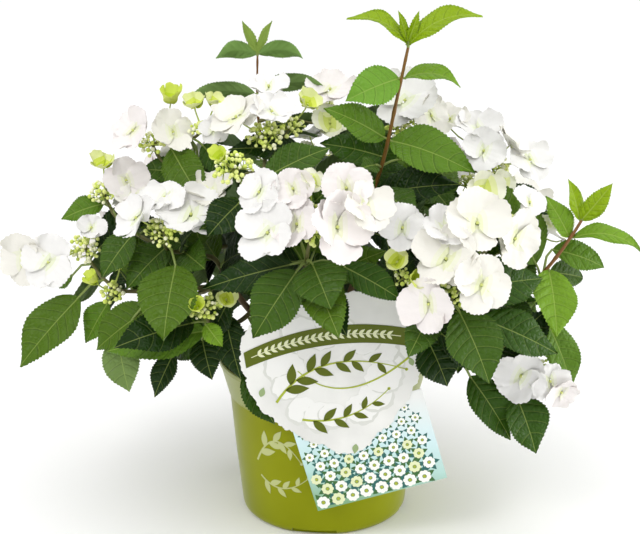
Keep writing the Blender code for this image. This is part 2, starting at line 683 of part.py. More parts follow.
TAG_TURN = 12.5         # the tag leans: its right side is higher
TAG_MIDDLE = Vector((9, -99.5, 164))
TAG_THICKNESS = 0.8
TAG_HALF_OUTLINE = [(0, -75), (24, -61), (46, -44), (62, -27), (72, -8), (75, 14),
                    (74, 36), (67, 53), (46, 64), (22, 70), (0, 68)]
SCALLOP = 0.12          # how far each scallop bulges, per unit of its chord
PICTURE_MIDDLE = Vector((38.5, -98.3, 93.5))
PICTURE_SIZE = (116, 86)
PICTURE_TURN = 16
HOOK_WIDTH = 24
HOOK_DROP = 10          # how far the hook reaches down inside the pot


def scalloped(corners, steps):
    """An outline whose every edge bulges outward in an arc."""
    outline = []
    for start, end in zip(corners, corners[1:] + corners[:1]):
        start, end = Vector(start), Vector(end)
        outward = Vector((end.y - start.y, start.x - end.x))
        for step in range(steps):
            t = step / steps
            outline.append(start.lerp(end, t) + outward * (SCALLOP * 4 * t * (1 - t)))
    return outline


def card(outline, middle, turn):
    """A thin upright card with this outline, facing -Y."""
    spin = Matrix.Rotation(math.radians(-turn), 3, 'Y')
    half = Vector((0, TAG_THICKNESS / 2, 0))
    face = [middle + spin @ Vector((x, 0, z)) for x, z in outline]
    return loft([[point + half for point in face], [point - half for point in face]])


def box(low, high):
    """A box between two corners."""
    corners = [(low[0], low[1]), (high[0], low[1]), (high[0], high[1]), (low[0], high[1])]
    return loft([[Vector((x, y, z)) for x, y in corners] for z in (low[2], high[2])])


def tag_solids():
    """The scalloped front card, and the strap that hooks it over the pot's rim."""
    mirrored = [(-x, z) for x, z in reversed(TAG_HALF_OUTLINE[1:-1])]
    outline = scalloped(TAG_HALF_OUTLINE + mirrored, 2)
    inside = 1.5 - inner_radius(POT_HEIGHT - HOOK_DROP)
    top = POT_HEIGHT + SEAT_GAP
    half = HOOK_WIDTH / 2
    return [
        card(outline, TAG_MIDDLE, TAG_TURN),
        box((-half, TAG_MIDDLE.y, top), (half, inside + 1, top + 1)),
        box((-half + 0.2, inside, top - HOOK_DROP), (half - 0.2, inside + 0.9, top + 0.6)),
    ]


def picture_solid():
    width, height = PICTURE_SIZE
    corners = [(-width / 2, -height / 2), (width / 2, -height / 2),
               (width / 2, height / 2), (-width / 2, height / 2)]
    return card([Vector(corner) for corner in corners], PICTURE_MIDDLE, PICTURE_TURN)


# ---------------------------------------------------------------- from solids to objects

COLOURS = {
    "pot": (0.27, 0.29, 0.02), "compost": (0.035, 0.022, 0.014), "bark": (0.13, 0.07, 0.035),
    "foliage": (0.045, 0.13, 0.03), "tag": (0.85, 0.84, 0.80), "picture": (0.45, 0.60, 0.50),
}
ROUGHNESS = {"pot": 0.35, "compost": 0.95, "bark": 0.8, "foliage": 0.5, "tag": 0.3, "picture": 0.3}


def material(name):
    found = bpy.data.materials.get(name)
    if found:
        return found
    made = bpy.data.materials.new(name)
    made.use_nodes = True
    shader = made.node_tree.nodes["Principled BSDF"]
    shader.inputs["Base Color"].default_value = (*COLOURS[name], 1)
    shader.inputs["Roughness"].default_value = ROUGHNESS[name]
    shader.inputs["Metallic"].default_value = 0
    return made


def make_object(name, solid, material_name, collection=None):
    """An object in metres from a solid in millimetres."""
    mesh = bpy.data.meshes.new(name)
    mesh.from_pydata([point * MM for point in solid.points], [], solid.faces)
    mesh.materials.append(material(material_name))
    made = bpy.data.objects.new(name, mesh)
    (collection or bpy.context.scene.collection).objects.link(made)
    return made


def shell_volume(faces):
    return sum(f.verts[0].co.dot(f.verts[1].co.cross(f.verts[2].co)) for f in faces) / 6


def shells_of(mesh):
    """The separate closed shells of a mesh, as lists of faces."""
    unseen = set(mesh.faces)
    while unseen:
        shell = [unseen.pop()]
        for face in shell:
            for edge in face.edges:
                for other in edge.link_faces:
                    if other in unseen:
                        unseen.remove(other)
                        shell.append(other)
        yield shell


def tidied(joined, sliver):
    """The largest shell of a joined mesh, without edges shorter than a sliver, or None if it is open."""
    mesh = bmesh.new()
    mesh.from_mesh(joined)
    bmesh.ops.triangulate(mesh, faces=mesh.faces)
    bmesh.ops.dissolve_degenerate(mesh, edges=mesh.edges, dist=sliver * MM)
    bmesh.ops.triangulate(mesh, faces=mesh.faces)
    closed = all(edge.is_manifold for edge in mesh.edges) and all(vert.is_manifold for vert in mesh.verts)
    if closed:
        for scrap in sorted(shells_of(mesh), key=shell_volume)[:-1]:
            bmesh.ops.delete(mesh, geom=scrap, context='FACES')
        mesh.to_mesh(joined)
    mesh.free()
    return joined if closed else None


def union_mesh(body, pieces, solver, sliver):
    """The mesh of a body joined with a collection of pieces, or None if it isn't closed."""
    union = body.modifiers.new("Union", 'BOOLEAN')
    union.operation = 'UNION'
    union.operand_type = 'COLLECTION'
    union.collection = pieces
    union.solver = solver
    bpy.context.view_layer.update()
    evaluated = body.evaluated_get(bpy.context.evaluated_depsgraph_get())
    joined = tidied(bpy.data.meshes.new_from_object(evaluated), sliver)
    body.modifiers.clear()
    return joined


def fused(name, solids, material_name):
    """One closed object from overlapping solids: the first, joined with a collection of the rest."""
    body = make_object(name, solids[0], material_name)
    pieces = bpy.data.collections.new(name + "_pieces")
    bpy.context.scene.collection.children.link(pieces)
    for index, solid in enumerate(solids[1:]):
        make_object(f"{name}_piece_{index}", solid, material_name, pieces)
    for solver, sliver in UNION_TRIES:
        joined = union_mesh(body, pieces, solver, sliver)
        if joined:
            break
    body.data = joined
    for piece in list(pieces.objects):
        bpy.data.objects.remove(piece)
    bpy.data.collections.remove(pieces)
    return body


def cut_notches(pot):
    """Cuts the drain notches into the pot's bottom edge."""
    for index in range(NOTCH_COUNT):
        bearing = math.radians(FIRST_NOTCH_BEARING + 360 / NOTCH_COUNT * index)
        inner, outer = FOOT_RADIUS - NOTCH_DEPTH, FOOT_RADIUS + 5
        half = NOTCH_WIDTH / 2
        solid = box((inner, -half, -5), (outer, half, NOTCH_HEIGHT))
        cutter = make_object(f"notch_cutter_{index}", solid, "pot")
        cutter.rotation_euler.z = bearing
        cutter.hide_render = True
        cutter.display_type = 'WIRE'
        cut = pot.modifiers.new(f"Notch {index}", 'BOOLEAN')
        cut.object = cutter
        cut.operation = 'DIFFERENCE'
        cut.solver = 'EXACT'


# ---------------------------------------------------------------- the whole plant

def grow_stem(spray, others, name):
    """The spray's own stem, from its cane's knob through every station."""
    stations = [Vector(station) for station in spray.stem]
    start = shoot_start(CANES[spray.cane], stations[0])
    route = start[:1] + smooth_route(start[1:] + stations, 2)
    radii = tapered(STEM_RADIUS, len(route))
    if not is_clear(loft(tube_rings(route, [r + CLEARANCE for r in radii], TWIG_SIDES)), others):
        raise ValueError(f"{name}: the stem meets another spray")
    return Twig(route, radii)


def grow_named_parts(fixed, grown, faces):
    """Stems, flower heads and the leaves that shape the outline, spray by spray."""
    twigs_of = {}
    for name, spray in SPRAYS.items():
        neighbours = [piece for other in grown.values() for piece in other]
        stem = grow_stem(spray, neighbours, name)
        twigs = [stem]
        organs = [organ("twig", loft(tube_rings(stem.route, stem.radii, TWIG_SIDES)))]
        for head in spray.heads:
            grow_head(head, twigs, fixed + neighbours, organs, faces, name)
        for leaf in spray.leaves:
            place_leaf(leaf, twigs, fixed + neighbours, organs, name)
        grown[name] = organs
        twigs_of[name] = twigs
    return twigs_of


def first_clear_leaf(node, choices, own, others, faces):
    """The first of the alternative leaves that has room, as an organ, or None."""
    for leaf in choices:
        if not in_crown(leaf) or hides_a_flower(leaf, faces):
            continue
        route = [node, Vector(leaf.foot)]
        solid = leaf_solid(leaf, route, FILLING_BLADE)
        if is_clear(solid, own) and is_clear(leaf_solid(leaf, route, FILLING_BLADE, CLEARANCE), others):
            return organ("leaf", solid)
    return None


def fill_with_leaves(twigs_of, fixed, grown, faces):
    """Adds leaf pairs to every spray in turn, where they find room."""
    rng = random.Random(SEED)
    for name, spray in SPRAYS.items():
        others = fixed + [piece for key, other in grown.items() if key != name for piece in other]
        own = [piece for piece in grown[name] if piece.kind != "twig"]
        placed = 0
        for node, choices in leaf_pairs(twigs_of[name], rng):
            if placed == spray.extra:
                break
            found = first_clear_leaf(node, choices, own, others, faces)
            if found:
                own.append(found)
                grown[name].append(found)
                placed += 1


def main():
    for old in list(bpy.data.objects):
        bpy.data.objects.remove(old)
    pot = make_object("pot", pot_solid(), "pot")
    cut_notches(pot)
    make_object("compost", compost_solid(), "compost")
    make_object("stump", stump_solid(), "bark")
    for name, cane in CANES.items():
        make_object(name, loft(cane_rings(cane)), "bark")
    fused("tag_front", tag_solids(), "tag")
    make_object("tag_picture", picture_solid(), "picture")

    barriers = [pot_solid(), compost_solid(), stump_solid(), picture_solid()] + tag_solids()
    barriers += [loft(cane_rings(cane)) for cane in CANES.values()]
    fixed = [organ("fixed", solid) for solid in barriers]
    grown, faces = {}, []
    twigs_of = grow_named_parts(fixed, grown, faces)
    fill_with_leaves(twigs_of, fixed, grown, faces)
    for name, organs in grown.items():
        fused(name, [piece.solid for piece in organs], "foliage")


main()
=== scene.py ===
"""The looks of a potted garland hydrangea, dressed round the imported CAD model.

The plant grows here again by the rule of the part's source, so each leaf, floret and dome of buds
lies where the CAD has it. Each is then drawn finer, and smaller leaves fill in between them.
Lengths are in millimetres and angles in degrees, and become metres as each mesh is made.
The origin is the centre of the pot's flat underside, +Z is up and -Y is the front.
A bearing is measured from +X toward +Y, and a pitch is the rise above level.
"""
import math
import random
from collections import namedtuple

import bmesh
import bpy
from mathutils import Matrix, Vector, noise
from mathutils.bvhtree import BVHTree


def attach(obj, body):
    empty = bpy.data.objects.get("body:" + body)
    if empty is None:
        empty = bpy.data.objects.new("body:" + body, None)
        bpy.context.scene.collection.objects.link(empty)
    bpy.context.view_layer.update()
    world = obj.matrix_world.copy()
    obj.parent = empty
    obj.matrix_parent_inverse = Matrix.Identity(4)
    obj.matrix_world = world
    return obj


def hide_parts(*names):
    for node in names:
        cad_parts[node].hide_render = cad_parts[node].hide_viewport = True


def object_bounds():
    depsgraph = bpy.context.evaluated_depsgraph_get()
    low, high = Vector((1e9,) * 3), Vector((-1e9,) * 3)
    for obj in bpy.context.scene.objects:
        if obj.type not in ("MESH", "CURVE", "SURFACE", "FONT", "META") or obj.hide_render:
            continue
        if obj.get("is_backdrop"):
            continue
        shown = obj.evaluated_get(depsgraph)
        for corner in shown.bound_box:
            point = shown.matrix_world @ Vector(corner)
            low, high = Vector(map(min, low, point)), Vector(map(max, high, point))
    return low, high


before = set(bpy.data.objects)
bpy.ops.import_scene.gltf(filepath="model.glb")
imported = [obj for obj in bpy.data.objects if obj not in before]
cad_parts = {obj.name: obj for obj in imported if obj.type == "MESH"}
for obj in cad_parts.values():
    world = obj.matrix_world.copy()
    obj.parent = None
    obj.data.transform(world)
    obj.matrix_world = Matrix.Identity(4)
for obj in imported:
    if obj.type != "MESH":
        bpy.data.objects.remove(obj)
CAD_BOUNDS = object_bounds()

MM = 0.001
UP = Vector((0, 0, 1))
ALONGSIDE = 0.05        # a leaning shorter than this gives no direction
SEAT_GAP = 0.35         # clear space where two solids meet
CLEARANCE = 0.7         # clear space round leaves, twigs and flowers of other sprays

# pot and compost
POT_HEIGHT = 146
RIM_RADIUS = 95.5
FOOT_RADIUS = 75.5
COLLAR_HEIGHT = 113     # where the flared collar starts
COLLAR_RADIUS = 86
WALL = 1.8
FLOOR = 3
POT_SIDES = 32
NOTCH_COUNT = 4         # drain notches in the bottom edge
NOTCH_WIDTH = 40
NOTCH_HEIGHT = 5
NOTCH_DEPTH = 7
FIRST_NOTCH_BEARING = -97
COMPOST_TOP = 132

# the short stump that the canes leave
CANE_COUNT = 9          # round the stump; a tenth stands on top
STUMP_FLARE = (20, 0)   # radius and height of each ring
STUMP_WAIST = (17.5, 5)
STUMP_TOP = (10.5, 17)

# canes
CANE_FOOT_RADIUS = 3.9
CANE_TIP_RADIUS = 2.9
KNOB_RADIUS = 4.6       # the swollen node where the shoots leave
KNOB_RINGS = ((-0.45, 1), (0.45, 1), (1, 0.5))  # how far along and how wide, per unit of that
KNOB_NECK = 1.3         # from its middle back to the cane's last ring, per unit of that
CANE_RISE = 0.4         # how far a cane's tip turns upward
CANE_SIDES = 5
SEAT_LENGTH = 3         # how far a limb runs straight out from its seat

# shoots, leaves and flowers
TWIG_SIDES = 3
STEM_RADIUS = (2.3, 1.8)
STALK_RADIUS = (1.7, 1.3)
PETIOLE_RADIUS = 1.1
PEDICEL_RADIUS = 0.8
LEAF_THICKNESS = 1.3
SHORTEST_STALK = 7
LEAST_RISE = 6          # a stalk that climbs less counts as longer, and so does one that turns back
RISE_COST = 0.5         # by this much for each millimetre
TURN_COST = 2
ROUTE_TRIES = 6
CURVE_PULL = 0.38       # how far a curve keeps to its first and last way, per unit of its span
ROOT_DEPTH = 1.2        # how far behind its place on the twig a stalk starts
ROOT_SCATTER = 0.4
LEAF_FOLD = 0.22        # how far the blade's edges lift, per unit of half width
BLADE_LEAN = (0.3, 0.8, 0.6)    # how strongly a blade's upper side turns outward, to the front and up
WIDEST_POWER = 0.8      # below 1 the blade is widest nearer its foot
FULLNESS = 0.85         # below 1 the blade's outline is fuller
NAMED_BLADE = (0.3, 0.62)       # where the blade's width is drawn, as shares of its length
FILLING_BLADE = (0.42,)
FLORET_THICKNESS = 1.2
SEPAL_REACH = (0.5, 0.34)       # to a sepal's tip and to the notch beside it, per unit of floret width
SEPAL_CUP = (0.07, 0.03)        # how far each of those is lifted
RADIAL_TILT = 0.35      # how far a floret turns outward from its head
FLORET_RISE = 6         # of a floret's centre above the buds, at the hub
FLORET_FALL = 0.25      # how far florets sink per unit of reach
FLORET_ROOT = 0.3       # how far out on its head a floret's stalk starts, per unit of the head's span
FLORET_TURN = (60, 37)  # the bearing of a head's first sepal, and its step from floret to floret
BUD_DEPTH = 0.45        # of the dome of buds, per unit of its radius
NODE_SPACING = 24       # between leaf pairs on a shoot
FIRST_NODE = (8, 16)    # from the shoot's tip to its first pair
LEAF_LENGTHS = (58, 86)
PETIOLE_LENGTHS = (9, 15)
LEAF_PROPORTION = 0.56  # width per unit of length
PAIR_WAY = (0.45, 0.25) # how far a paired leaf points on along its shoot, and down
PETIOLE_WAY = 0.5       # and how far its stalk leaves along the shoot
LEAF_TRIES = ((0, 1), (30, 1), (-30, 1), (60, 0.8), (-60, 0.8), (0, 0.7))   # twist, share of length
LEAF_MIDDLE = 0.6       # of its length, where a leaf would hide a flower
FLOWER_SPACE = (75, 0.55)       # no filling leaf this near a floret, within this cosine of its facing

# filling leaves: those of the solids, and smaller ones that the solids leave out
SEED = 7
EXTRA_LEAVES = 7        # to each spray
SMALL_LEAF_SEED = 11
SMALL_LEAF_LENGTHS = (34, 60)
SMALL_LEAVES = 6

# the crown's outline, which filling leaves keep inside
PLANT_MIDDLE = Vector((0, 25, 165))
CROWN_REACH = Vector((255, 240, 195))
FRONT_UNDERSIDE = 150   # lowest leaf tip before the pot and its tag
BACK_UNDERSIDE = 105

Cane = namedtuple("Cane", "bearing tip")
Spray = namedtuple("Spray", "cane stem heads leaves", defaults=((), ()))
Head = namedtuple("Head", "hub bearing pitch span florets")
Leaf = namedtuple("Leaf", "foot bearing pitch length width tone arch turn", defaults=("dark", 12, 0))
Twig = namedtuple("Twig", "route radii")
Solid = namedtuple("Solid", "points faces")
Organ = namedtuple("Organ", "plan tree low high")

# what an organ was grown from, which its finer mesh is drawn from
PlacedLeaf = namedtuple("PlacedLeaf", "leaf route")
Floret = namedtuple("Floret", "centre facing width root first tone", defaults=("open",))
Buds = namedtuple("Buds", "hub facing span")

CANES = {
    "front_cane": Cane(-90, (-5, -55, 225)),
    "right_front_cane": Cane(-50, (60, -50, 205)),
    "right_cane": Cane(-10, (85, -5, 215)),
    "right_back_cane": Cane(30, (65, 40, 235)),
    "back_right_cane": Cane(70, (35, 85, 215)),
    "back_left_cane": Cane(110, (-35, 80, 230)),
    "left_back_cane": Cane(150, (-55, 35, 240)),
    "left_cane": Cane(190, (-85, -5, 215)),
    "left_front_cane": Cane(230, (-60, -50, 205)),
    "centre_cane": Cane(None, (15, 10, 240)),
}

# Each floret: clock hour round the head as seen from in front of it, reach from the hub, width.
SPRAYS = {
    "left_low_spray": Spray(
        "left_cane", [(-130, -30, 215), (-180, -30, 215)],
        [Head((-210, -15, 250), -100, 25, 15, [(8, 32, 48), (8.5, 54, 46), (1, 18, 26)]),
         Head((-185, -35, 215), -100, 40, 11, [(9.5, 12, 14, "cup"), (12.5, 20, 14, "cup")])],
        [Leaf((-215, -30, 210), -155, -45, 80, 46, "dark_b", 8),
         Leaf((-190, -30, 205), -165, -60, 42, 28, "mid", 8),
         Leaf((-225, 0, 220), 160, -45, 20, 14, "mid")]),
    "left_mid_spray": Spray(
        "left_cane", [(-100, -10, 240), (-135, -40, 255)],
        [Head((-195, 5, 295), -110, 45, 14, [(12, 18, 22, "young"), (2.5, 26, 40), (3.5, 38, 34)]),
         Head((-135, -65, 280), -100, 50, 17, [(9, 20, 42), (12, 22, 38), (2.5, 26, 54), (1.5, 50, 40)])],
        [Leaf((-195, 5, 285), -175, -20, 40, 24, "mid", 18),
         Leaf((-165, -40, 270), -140, -45, 46, 32, "dark_d"),
         Leaf((-135, -40, 260), -150, -40, 52, 36),
         Leaf((-125, -80, 255), -100, -50, 68, 54, "dark_b", 10)]),
    "left_front_spray": Spray(
        "left_front_cane", [(-75, -70, 200), (-95, -80, 200)],
        [Head((-100, -90, 220), -90, 45, 14, [(7, 10, 14, "cup"), (3, 18, 18, "young")])],
        [Leaf((-100, -90, 200), 172, -15, 90, 40, "mid", 10),
         Leaf((-150, -60, 210), 170, -40, 65, 40),
         Leaf((-180, -50, 180), -45, -75, 50, 36, "pale"),
         Leaf((-130, -60, 170), -165, -65, 45, 24, "dark_c", 8),
         Leaf((-105, -70, 185), -60, -60, 36, 28, "dark_c"),
         Leaf((-85, -75, 210), -50, -68, 58, 30, "dark_c"),
         Leaf((-68, -84, 160), -5, -62, 54, 28, "dark_a"),
         Leaf((-80, -80, 225), 160, -65, 40, 28),
         Leaf((-100, -96, 208), -30, -45, 24, 18, "fresh", 8)]),
    "left_top_spray": Spray(
        "left_back_cane", [(-85, 15, 275), (-110, 0, 300)],
        [Head((-150, 0, 340), -105, 45, 12, [(9.5, 14, 40), (2.5, 22, 38), (12.5, 40, 18, "cup")]),
         Head((-105, -10, 355), -100, 60, 12, [(11, 16, 20, "young"), (1, 18, 22, "young"), (4.5, 20, 26)])],
        [Leaf((-120, 0, 314), 178, 4, 42, 26),
         Leaf((-110, -5, 330), -75, -40, 34, 26),
         Leaf((-120, 5, 320), -155, -65, 34, 26)]),
    "top_left_spray": Spray(
        "front_cane", [(-30, -55, 270), (-50, -50, 305)],
        [Head((-50, -35, 355), -95, 50, 17, [(9.5, 24, 48), (1, 12, 38), (12, 44, 34)]),
         Head((-30, -20, 360), -80, 60, 14, [(2, 18, 22, "young")]),
         Head((-75, -85, 340), -100, 55, 18, [(7, 10, 14, "cup")])],
        [Leaf((-50, -80, 330), 20, 20, 62, 32, arch=15),
         Leaf((-20, -20, 340), -160, 5, 65, 28),
         Leaf((-70, -80, 310), -150, -40, 40, 34)]),
    "back_shoot": Spray(
        "back_left_cane", [(-50, 85, 285), (-60, 75, 345), (-60, 70, 405)],
        [Head((5, 65, 350), -80, 40, 16, [(12, 18, 46), (6.5, 16, 32, "greenish")])],
        [Leaf((-60, 70, 407), -168, -4, 38, 19, "spring", 52, 22),
         Leaf((-60, 70, 407), -12, -4, 42, 19, "spring", 52, -22),
         Leaf((-60, 70, 408), -170, 65, 32, 10, "lime", 5),
         Leaf((-60, 70, 408), -10, 65, 32, 10, "lime", 5),
         Leaf((-62, 70, 370), -165, 0, 62, 20, "mid", 34, 22),
         Leaf((-58, 70, 374), -10, 6, 58, 20, "mid", 34, -22)]),
    "centre_spray": Spray(
        "front_cane", [(-10, -90, 245), (-15, -120, 270)],
        [Head((-10, -130, 305), -90, 25, 18,
              [(8.5, 36, 50), (8.5, 12, 42), (3.5, 20, 56), (11, 30, 34), (12, 32, 22, "greenish"),
               (10, 48, 38), (1.5, 38, 42), (2.5, 44, 44)])],
        [Leaf((-22, -135, 268), -165, -56, 66, 44, "dark_d"),
         Leaf((-25, -130, 272), 165, -20, 82, 30, "dark_c", 10),
         Leaf((-10, -138, 275), -60, -45, 42, 46, "dark_d"),
         Leaf((15, -130, 270), -5, -30, 56, 28, "dark_a"),
         Leaf((-20, -110, 268), 170, -10, 50, 36)]),
    "tall_shoot": Spray(
        "centre_cane", [(35, -10, 280), (50, -25, 330), (60, -30, 380), (70, -30, 430)], (),
        [Leaf((45, -20, 300), -20, 12, 76, 38, "dark_c", 15),
         Leaf((50, -25, 335), 180, 12, 55, 32, arch=15),
         Leaf((56, -28, 350), -25, -15, 80, 44, "mid", 18),
         Leaf((52, -28, 352), -170, 28, 60, 32, "mid", 15),
         Leaf((63, -30, 404), -165, -20, 50, 36, "spring", 20),
         Leaf((67, -30, 404), -5, -8, 48, 28, "fresh", 38, -30),
         Leaf((70, -30, 432), 180, 24, 56, 26, "lime", 36, 30),
         Leaf((70, -30, 432), 0, 22, 66, 28, "lime", 36, -30),
         Leaf((70, -30, 434), 175, 72, 28, 9, "lime", 5),
         Leaf((70, -30, 434), -5, 72, 28, 9, "lime", 5)]),
    "top_right_spray": Spray(
        "right_back_cane", [(85, 25, 260), (105, 15, 285)],
        [Head((70, 35, 350), -80, 35, 16, [(12, 14, 60), (3, 22, 36)]),
         Head((150, 25, 315), -70, 50, 15,
              [(11, 56, 34), (11.5, 32, 44), (9.5, 14, 40), (2, 18, 40), (3.5, 30, 40),
               (6.5, 32, 24, "greenish")])],
        [Leaf((90, 0, 305), -45, -35, 38, 28),
         Leaf((155, 0, 300), -15, -25, 48, 28)]),
    "right_front_spray": Spray(
        "right_front_cane", [(75, -80, 215), (95, -105, 225)],
        [Head((110, -120, 250), -90, 20, 18,
              [(11, 24, 54), (8, 30, 46), (12.5, 52, 52), (11.5, 48, 38), (10.5, 66, 40), (3, 16, 46)]),
         Head((150, -65, 285), -60, 30, 15, [(6.5, 16, 50), (11, 34, 32, "greenish"), (2, 26, 32)]),
         Head((65, -115, 255), -90, 30, 9, [(11, 12, 20, "young"), (4.5, 8, 16, "cup")])],
        [Leaf((110, -125, 230), -50, -55, 64, 50, "dark_d", 14),
         Leaf((130, -110, 218), 10, -28, 76, 38, "dark_a"),
         Leaf((90, -110, 210), 0, -40, 65, 30, "dark_c"),
         Leaf((85, -105, 200), -20, -65, 46, 42, "dark_c")]),
    "right_shoot": Spray(
        "right_cane",
        [(120, -40, 205), (160, -42, 210), (190, -45, 238), (212, -38, 266), (222, -32, 280)], (),
        [Leaf((221, -32, 280), 165, 72, 38, 16, "lime", 8),
         Leaf((222, -32, 280), -8, 54, 42, 20, "lime", 8),
         Leaf((212, -36, 266), 168, 58, 42, 24, "fresh", 10),
         Leaf((214, -36, 266), -6, -12, 62, 24, "fresh", 40, -25),
         Leaf((198, -32, 254), 10, -22, 52, 28, "mid", 22),
         Leaf((194, -45, 240), -85, -50, 62, 42, "fresh", 10),
         Leaf((160, -45, 222), 15, 50, 36, 28)]),
    "right_low_spray": Spray(
        "right_front_cane", [(85, -75, 180), (120, -80, 165), (150, -78, 158)],
        [Head((180, -70, 160), -80, 10, 14, [(8.5, 16, 44), (4.5, 14, 36), (4.5, 30, 30)])],
        [Leaf((193, -60, 196), -15, -68, 64, 34, "mid"),
         Leaf((125, -80, 155), -20, -55, 66, 38, "dark_a"),
         Leaf((165, -80, 138), -40, -65, 54, 42, "dark_a")]),
    "middle_spray": Spray("centre_cane", [(-5, 35, 265), (-20, 45, 300)]),
    "left_skirt_spray": Spray("left_cane", [(-120, 15, 195), (-150, 30, 172)]),
    "right_skirt_spray": Spray("right_cane", [(120, 10, 190), (150, 25, 170)]),
    "back_skirt_spray": Spray("back_right_cane", [(20, 120, 190), (10, 150, 170)]),
    "left_side_spray": Spray(
        "left_back_cane", [(-105, 50, 230), (-150, 55, 225)],
        [Head((-178, 60, 240), 165, 40, 18, [(8, 30, 46), (12, 32, 50), (4, 30, 48)])]),
    "back_centre_spray": Spray(
        "back_right_cane", [(25, 125, 235), (15, 165, 255)],
        [Head((5, 190, 270), 90, 40, 20, [(8, 34, 60), (11, 30, 50), (1, 38, 56), (4, 32, 48)])]),
    "back_right_spray": Spray(
        "right_back_cane", [(95, 85, 235), (125, 120, 245)],
        [Head((145, 140, 262), 45, 45, 20, [(9, 34, 56), (12, 30, 50), (3, 36, 58), (6, 30, 44)])]),
    "right_side_spray": Spray(
        "right_cane", [(130, 25, 225), (165, 40, 230)],
        [Head((190, 50, 245), 10, 40, 18, [(8, 30, 46), (12, 32, 50), (4, 30, 48)])]),
    "back_low_right_spray": Spray(
        "back_right_cane", [(65, 120, 200), (95, 160, 195)],
        [Head((112, 190, 200), 60, 25, 18, [(7, 30, 50), (10, 32, 46), (2, 34, 52)])]),
    "back_low_left_spray": Spray(
        "back_left_cane", [(-55, 120, 205), (-70, 165, 200)],
        [Head((-82, 195, 205), 100, 25, 18, [(8, 32, 52), (12, 30, 46), (4, 32, 48)])]),
    "back_left_spray": Spray(
        "back_left_cane", [(-75, 95, 240), (-115, 120, 246)],
        [Head((-140, 135, 262), 135, 45, 20, [(9, 34, 56), (12, 30, 48), (3, 36, 58), (6, 30, 46)])]),
}


# ---------------------------------------------------------------- directions and routes

def unit(bearing, pitch):
    """The unit vector with this bearing and pitch."""
    turn, rise = math.radians(bearing), math.radians(pitch)
    return Vector((math.cos(rise) * math.cos(turn), math.cos(rise) * math.sin(turn), math.sin(rise)))


def across(direction, toward):
    """The unit vector square to a direction that leans most toward the given one."""
    leaning = toward - direction * toward.dot(direction)
    if leaning.length < ALONGSIDE:
        leaning = direction.orthogonal()
    return leaning.normalized()


def flat_axes(facing):
    """Two ways square to a facing and to each other: sideways and upward."""
    side = across(facing, UP).cross(facing)
    return side, facing.cross(side)


def between(side, front, turn):
    """The unit vector that is turned from side toward front by an angle in radians."""
    return side * math.cos(turn) + front * math.sin(turn)


def bezier(start, start_way, end, end_way, steps):
    """A curved route that leaves start along start_way and arrives at end along end_way."""
    pull = (end - start).length * CURVE_PULL
    near, far = start + start_way * pull, end - end_way * pull
    route = []
    for step in range(steps + 1):
        t = step / steps
        route.append(start * (1 - t) ** 3 + near * 3 * t * (1 - t) ** 2
                     + far * 3 * t * t * (1 - t) + end * t ** 3)
    return route


def smooth_route(stations, steps):
    """A curve through every station, with this many steps between two of them (Catmull-Rom)."""
    padded = [stations[0] * 2 - stations[1]] + stations + [stations[-1] * 2 - stations[-2]]
    route = [stations[0]]
    for before, start, end, after in zip(padded, padded[1:], padded[2:], padded[3:]):
        for step in range(1, steps + 1):
            t = step / steps
            route.append((start * 2 + (end - before) * t
                          + (before * 2 - start * 5 + end * 4 - after) * t * t
                          + (start * 3 - before - end * 3 + after) * t ** 3) / 2)
    return route


def headings(route):
    """The direction of travel at each point of a route."""
    ways = []
    for index, _ in enumerate(route):
        before, after = route[max(index - 1, 0)], route[min(index + 1, len(route) - 1)]
        ways.append((after - before).normalized())
    return ways


# ---------------------------------------------------------------- closed solids from rings

def bridge(ring_a, ring_b):
    """Triangles between two rings of point numbers, which may differ in count."""
    faces = []
    a = b = 0
    while a < len(ring_a) or b < len(ring_b):
        next_a = (a + 1) / len(ring_a) if a < len(ring_a) > 1 else math.inf
        next_b = (b + 1) / len(ring_b) if b < len(ring_b) > 1 else math.inf
        if next_a == next_b == math.inf:
            break
        here_a, here_b = ring_a[a % len(ring_a)], ring_b[b % len(ring_b)]
        if next_a <= next_b:
            faces.append((here_a, ring_a[(a + 1) % len(ring_a)], here_b))
            a += 1
        else:
            faces.append((here_a, ring_b[(b + 1) % len(ring_b)], here_b))
            b += 1
    return faces


def loft(rings):
    """A closed solid through rings of points; a ring of one point is a tip."""
    points, numbers = [], []
    for ring in rings:
        numbers.append(list(range(len(points), len(points) + len(ring))))
        points.extend(ring)
    faces = []
    for ring_a, ring_b in zip(numbers, numbers[1:]):
        faces.extend(bridge(ring_a, ring_b))
    if len(numbers[0]) > 2:
        faces.append(tuple(reversed(numbers[0])))
    if len(numbers[-1]) > 2:
        faces.append(tuple(numbers[-1]))
    return Solid(points, faces)


def circle(centre, side, front, radius, count, first=0.0):
    """A ring of points, turning from side toward front."""
    ring = []
    for index in range(count):
        turn = math.radians(first) + math.tau * index / count
        ring.append(centre + side * (radius * math.cos(turn)) + front * (radius * math.sin(turn)))
    return ring


def tube_rings(route, radii, sides, toward=UP, first=90):
    """Rings of a tube along a route, each with its own radius."""
    rings = []
    for point, way, radius in zip(route, headings(route), radii):
        front = across(way, toward)
        toward = front
        rings.append(circle(point, front.cross(way), front, radius, sides, first))
    return rings


def tapered(radii, count):
    """Radii that change evenly from the first to the last of a pair."""
    return [radii[0] + (radii[1] - radii[0]) * index / (count - 1) for index in range(count)]


def turned(profile, sides, first=0.0):
    """A closed solid turned about the Z axis from (radius, height) pairs."""
    rings = []
    for radius, height in profile:
        middle = Vector((0, 0, height))
        side, front = Vector((1, 0, 0)), Vector((0, 1, 0))
        rings.append([middle] if radius == 0 else circle(middle, side, front, radius, sides, first))
    return loft(rings)


# ---------------------------------------------------------------- leaves and flowers

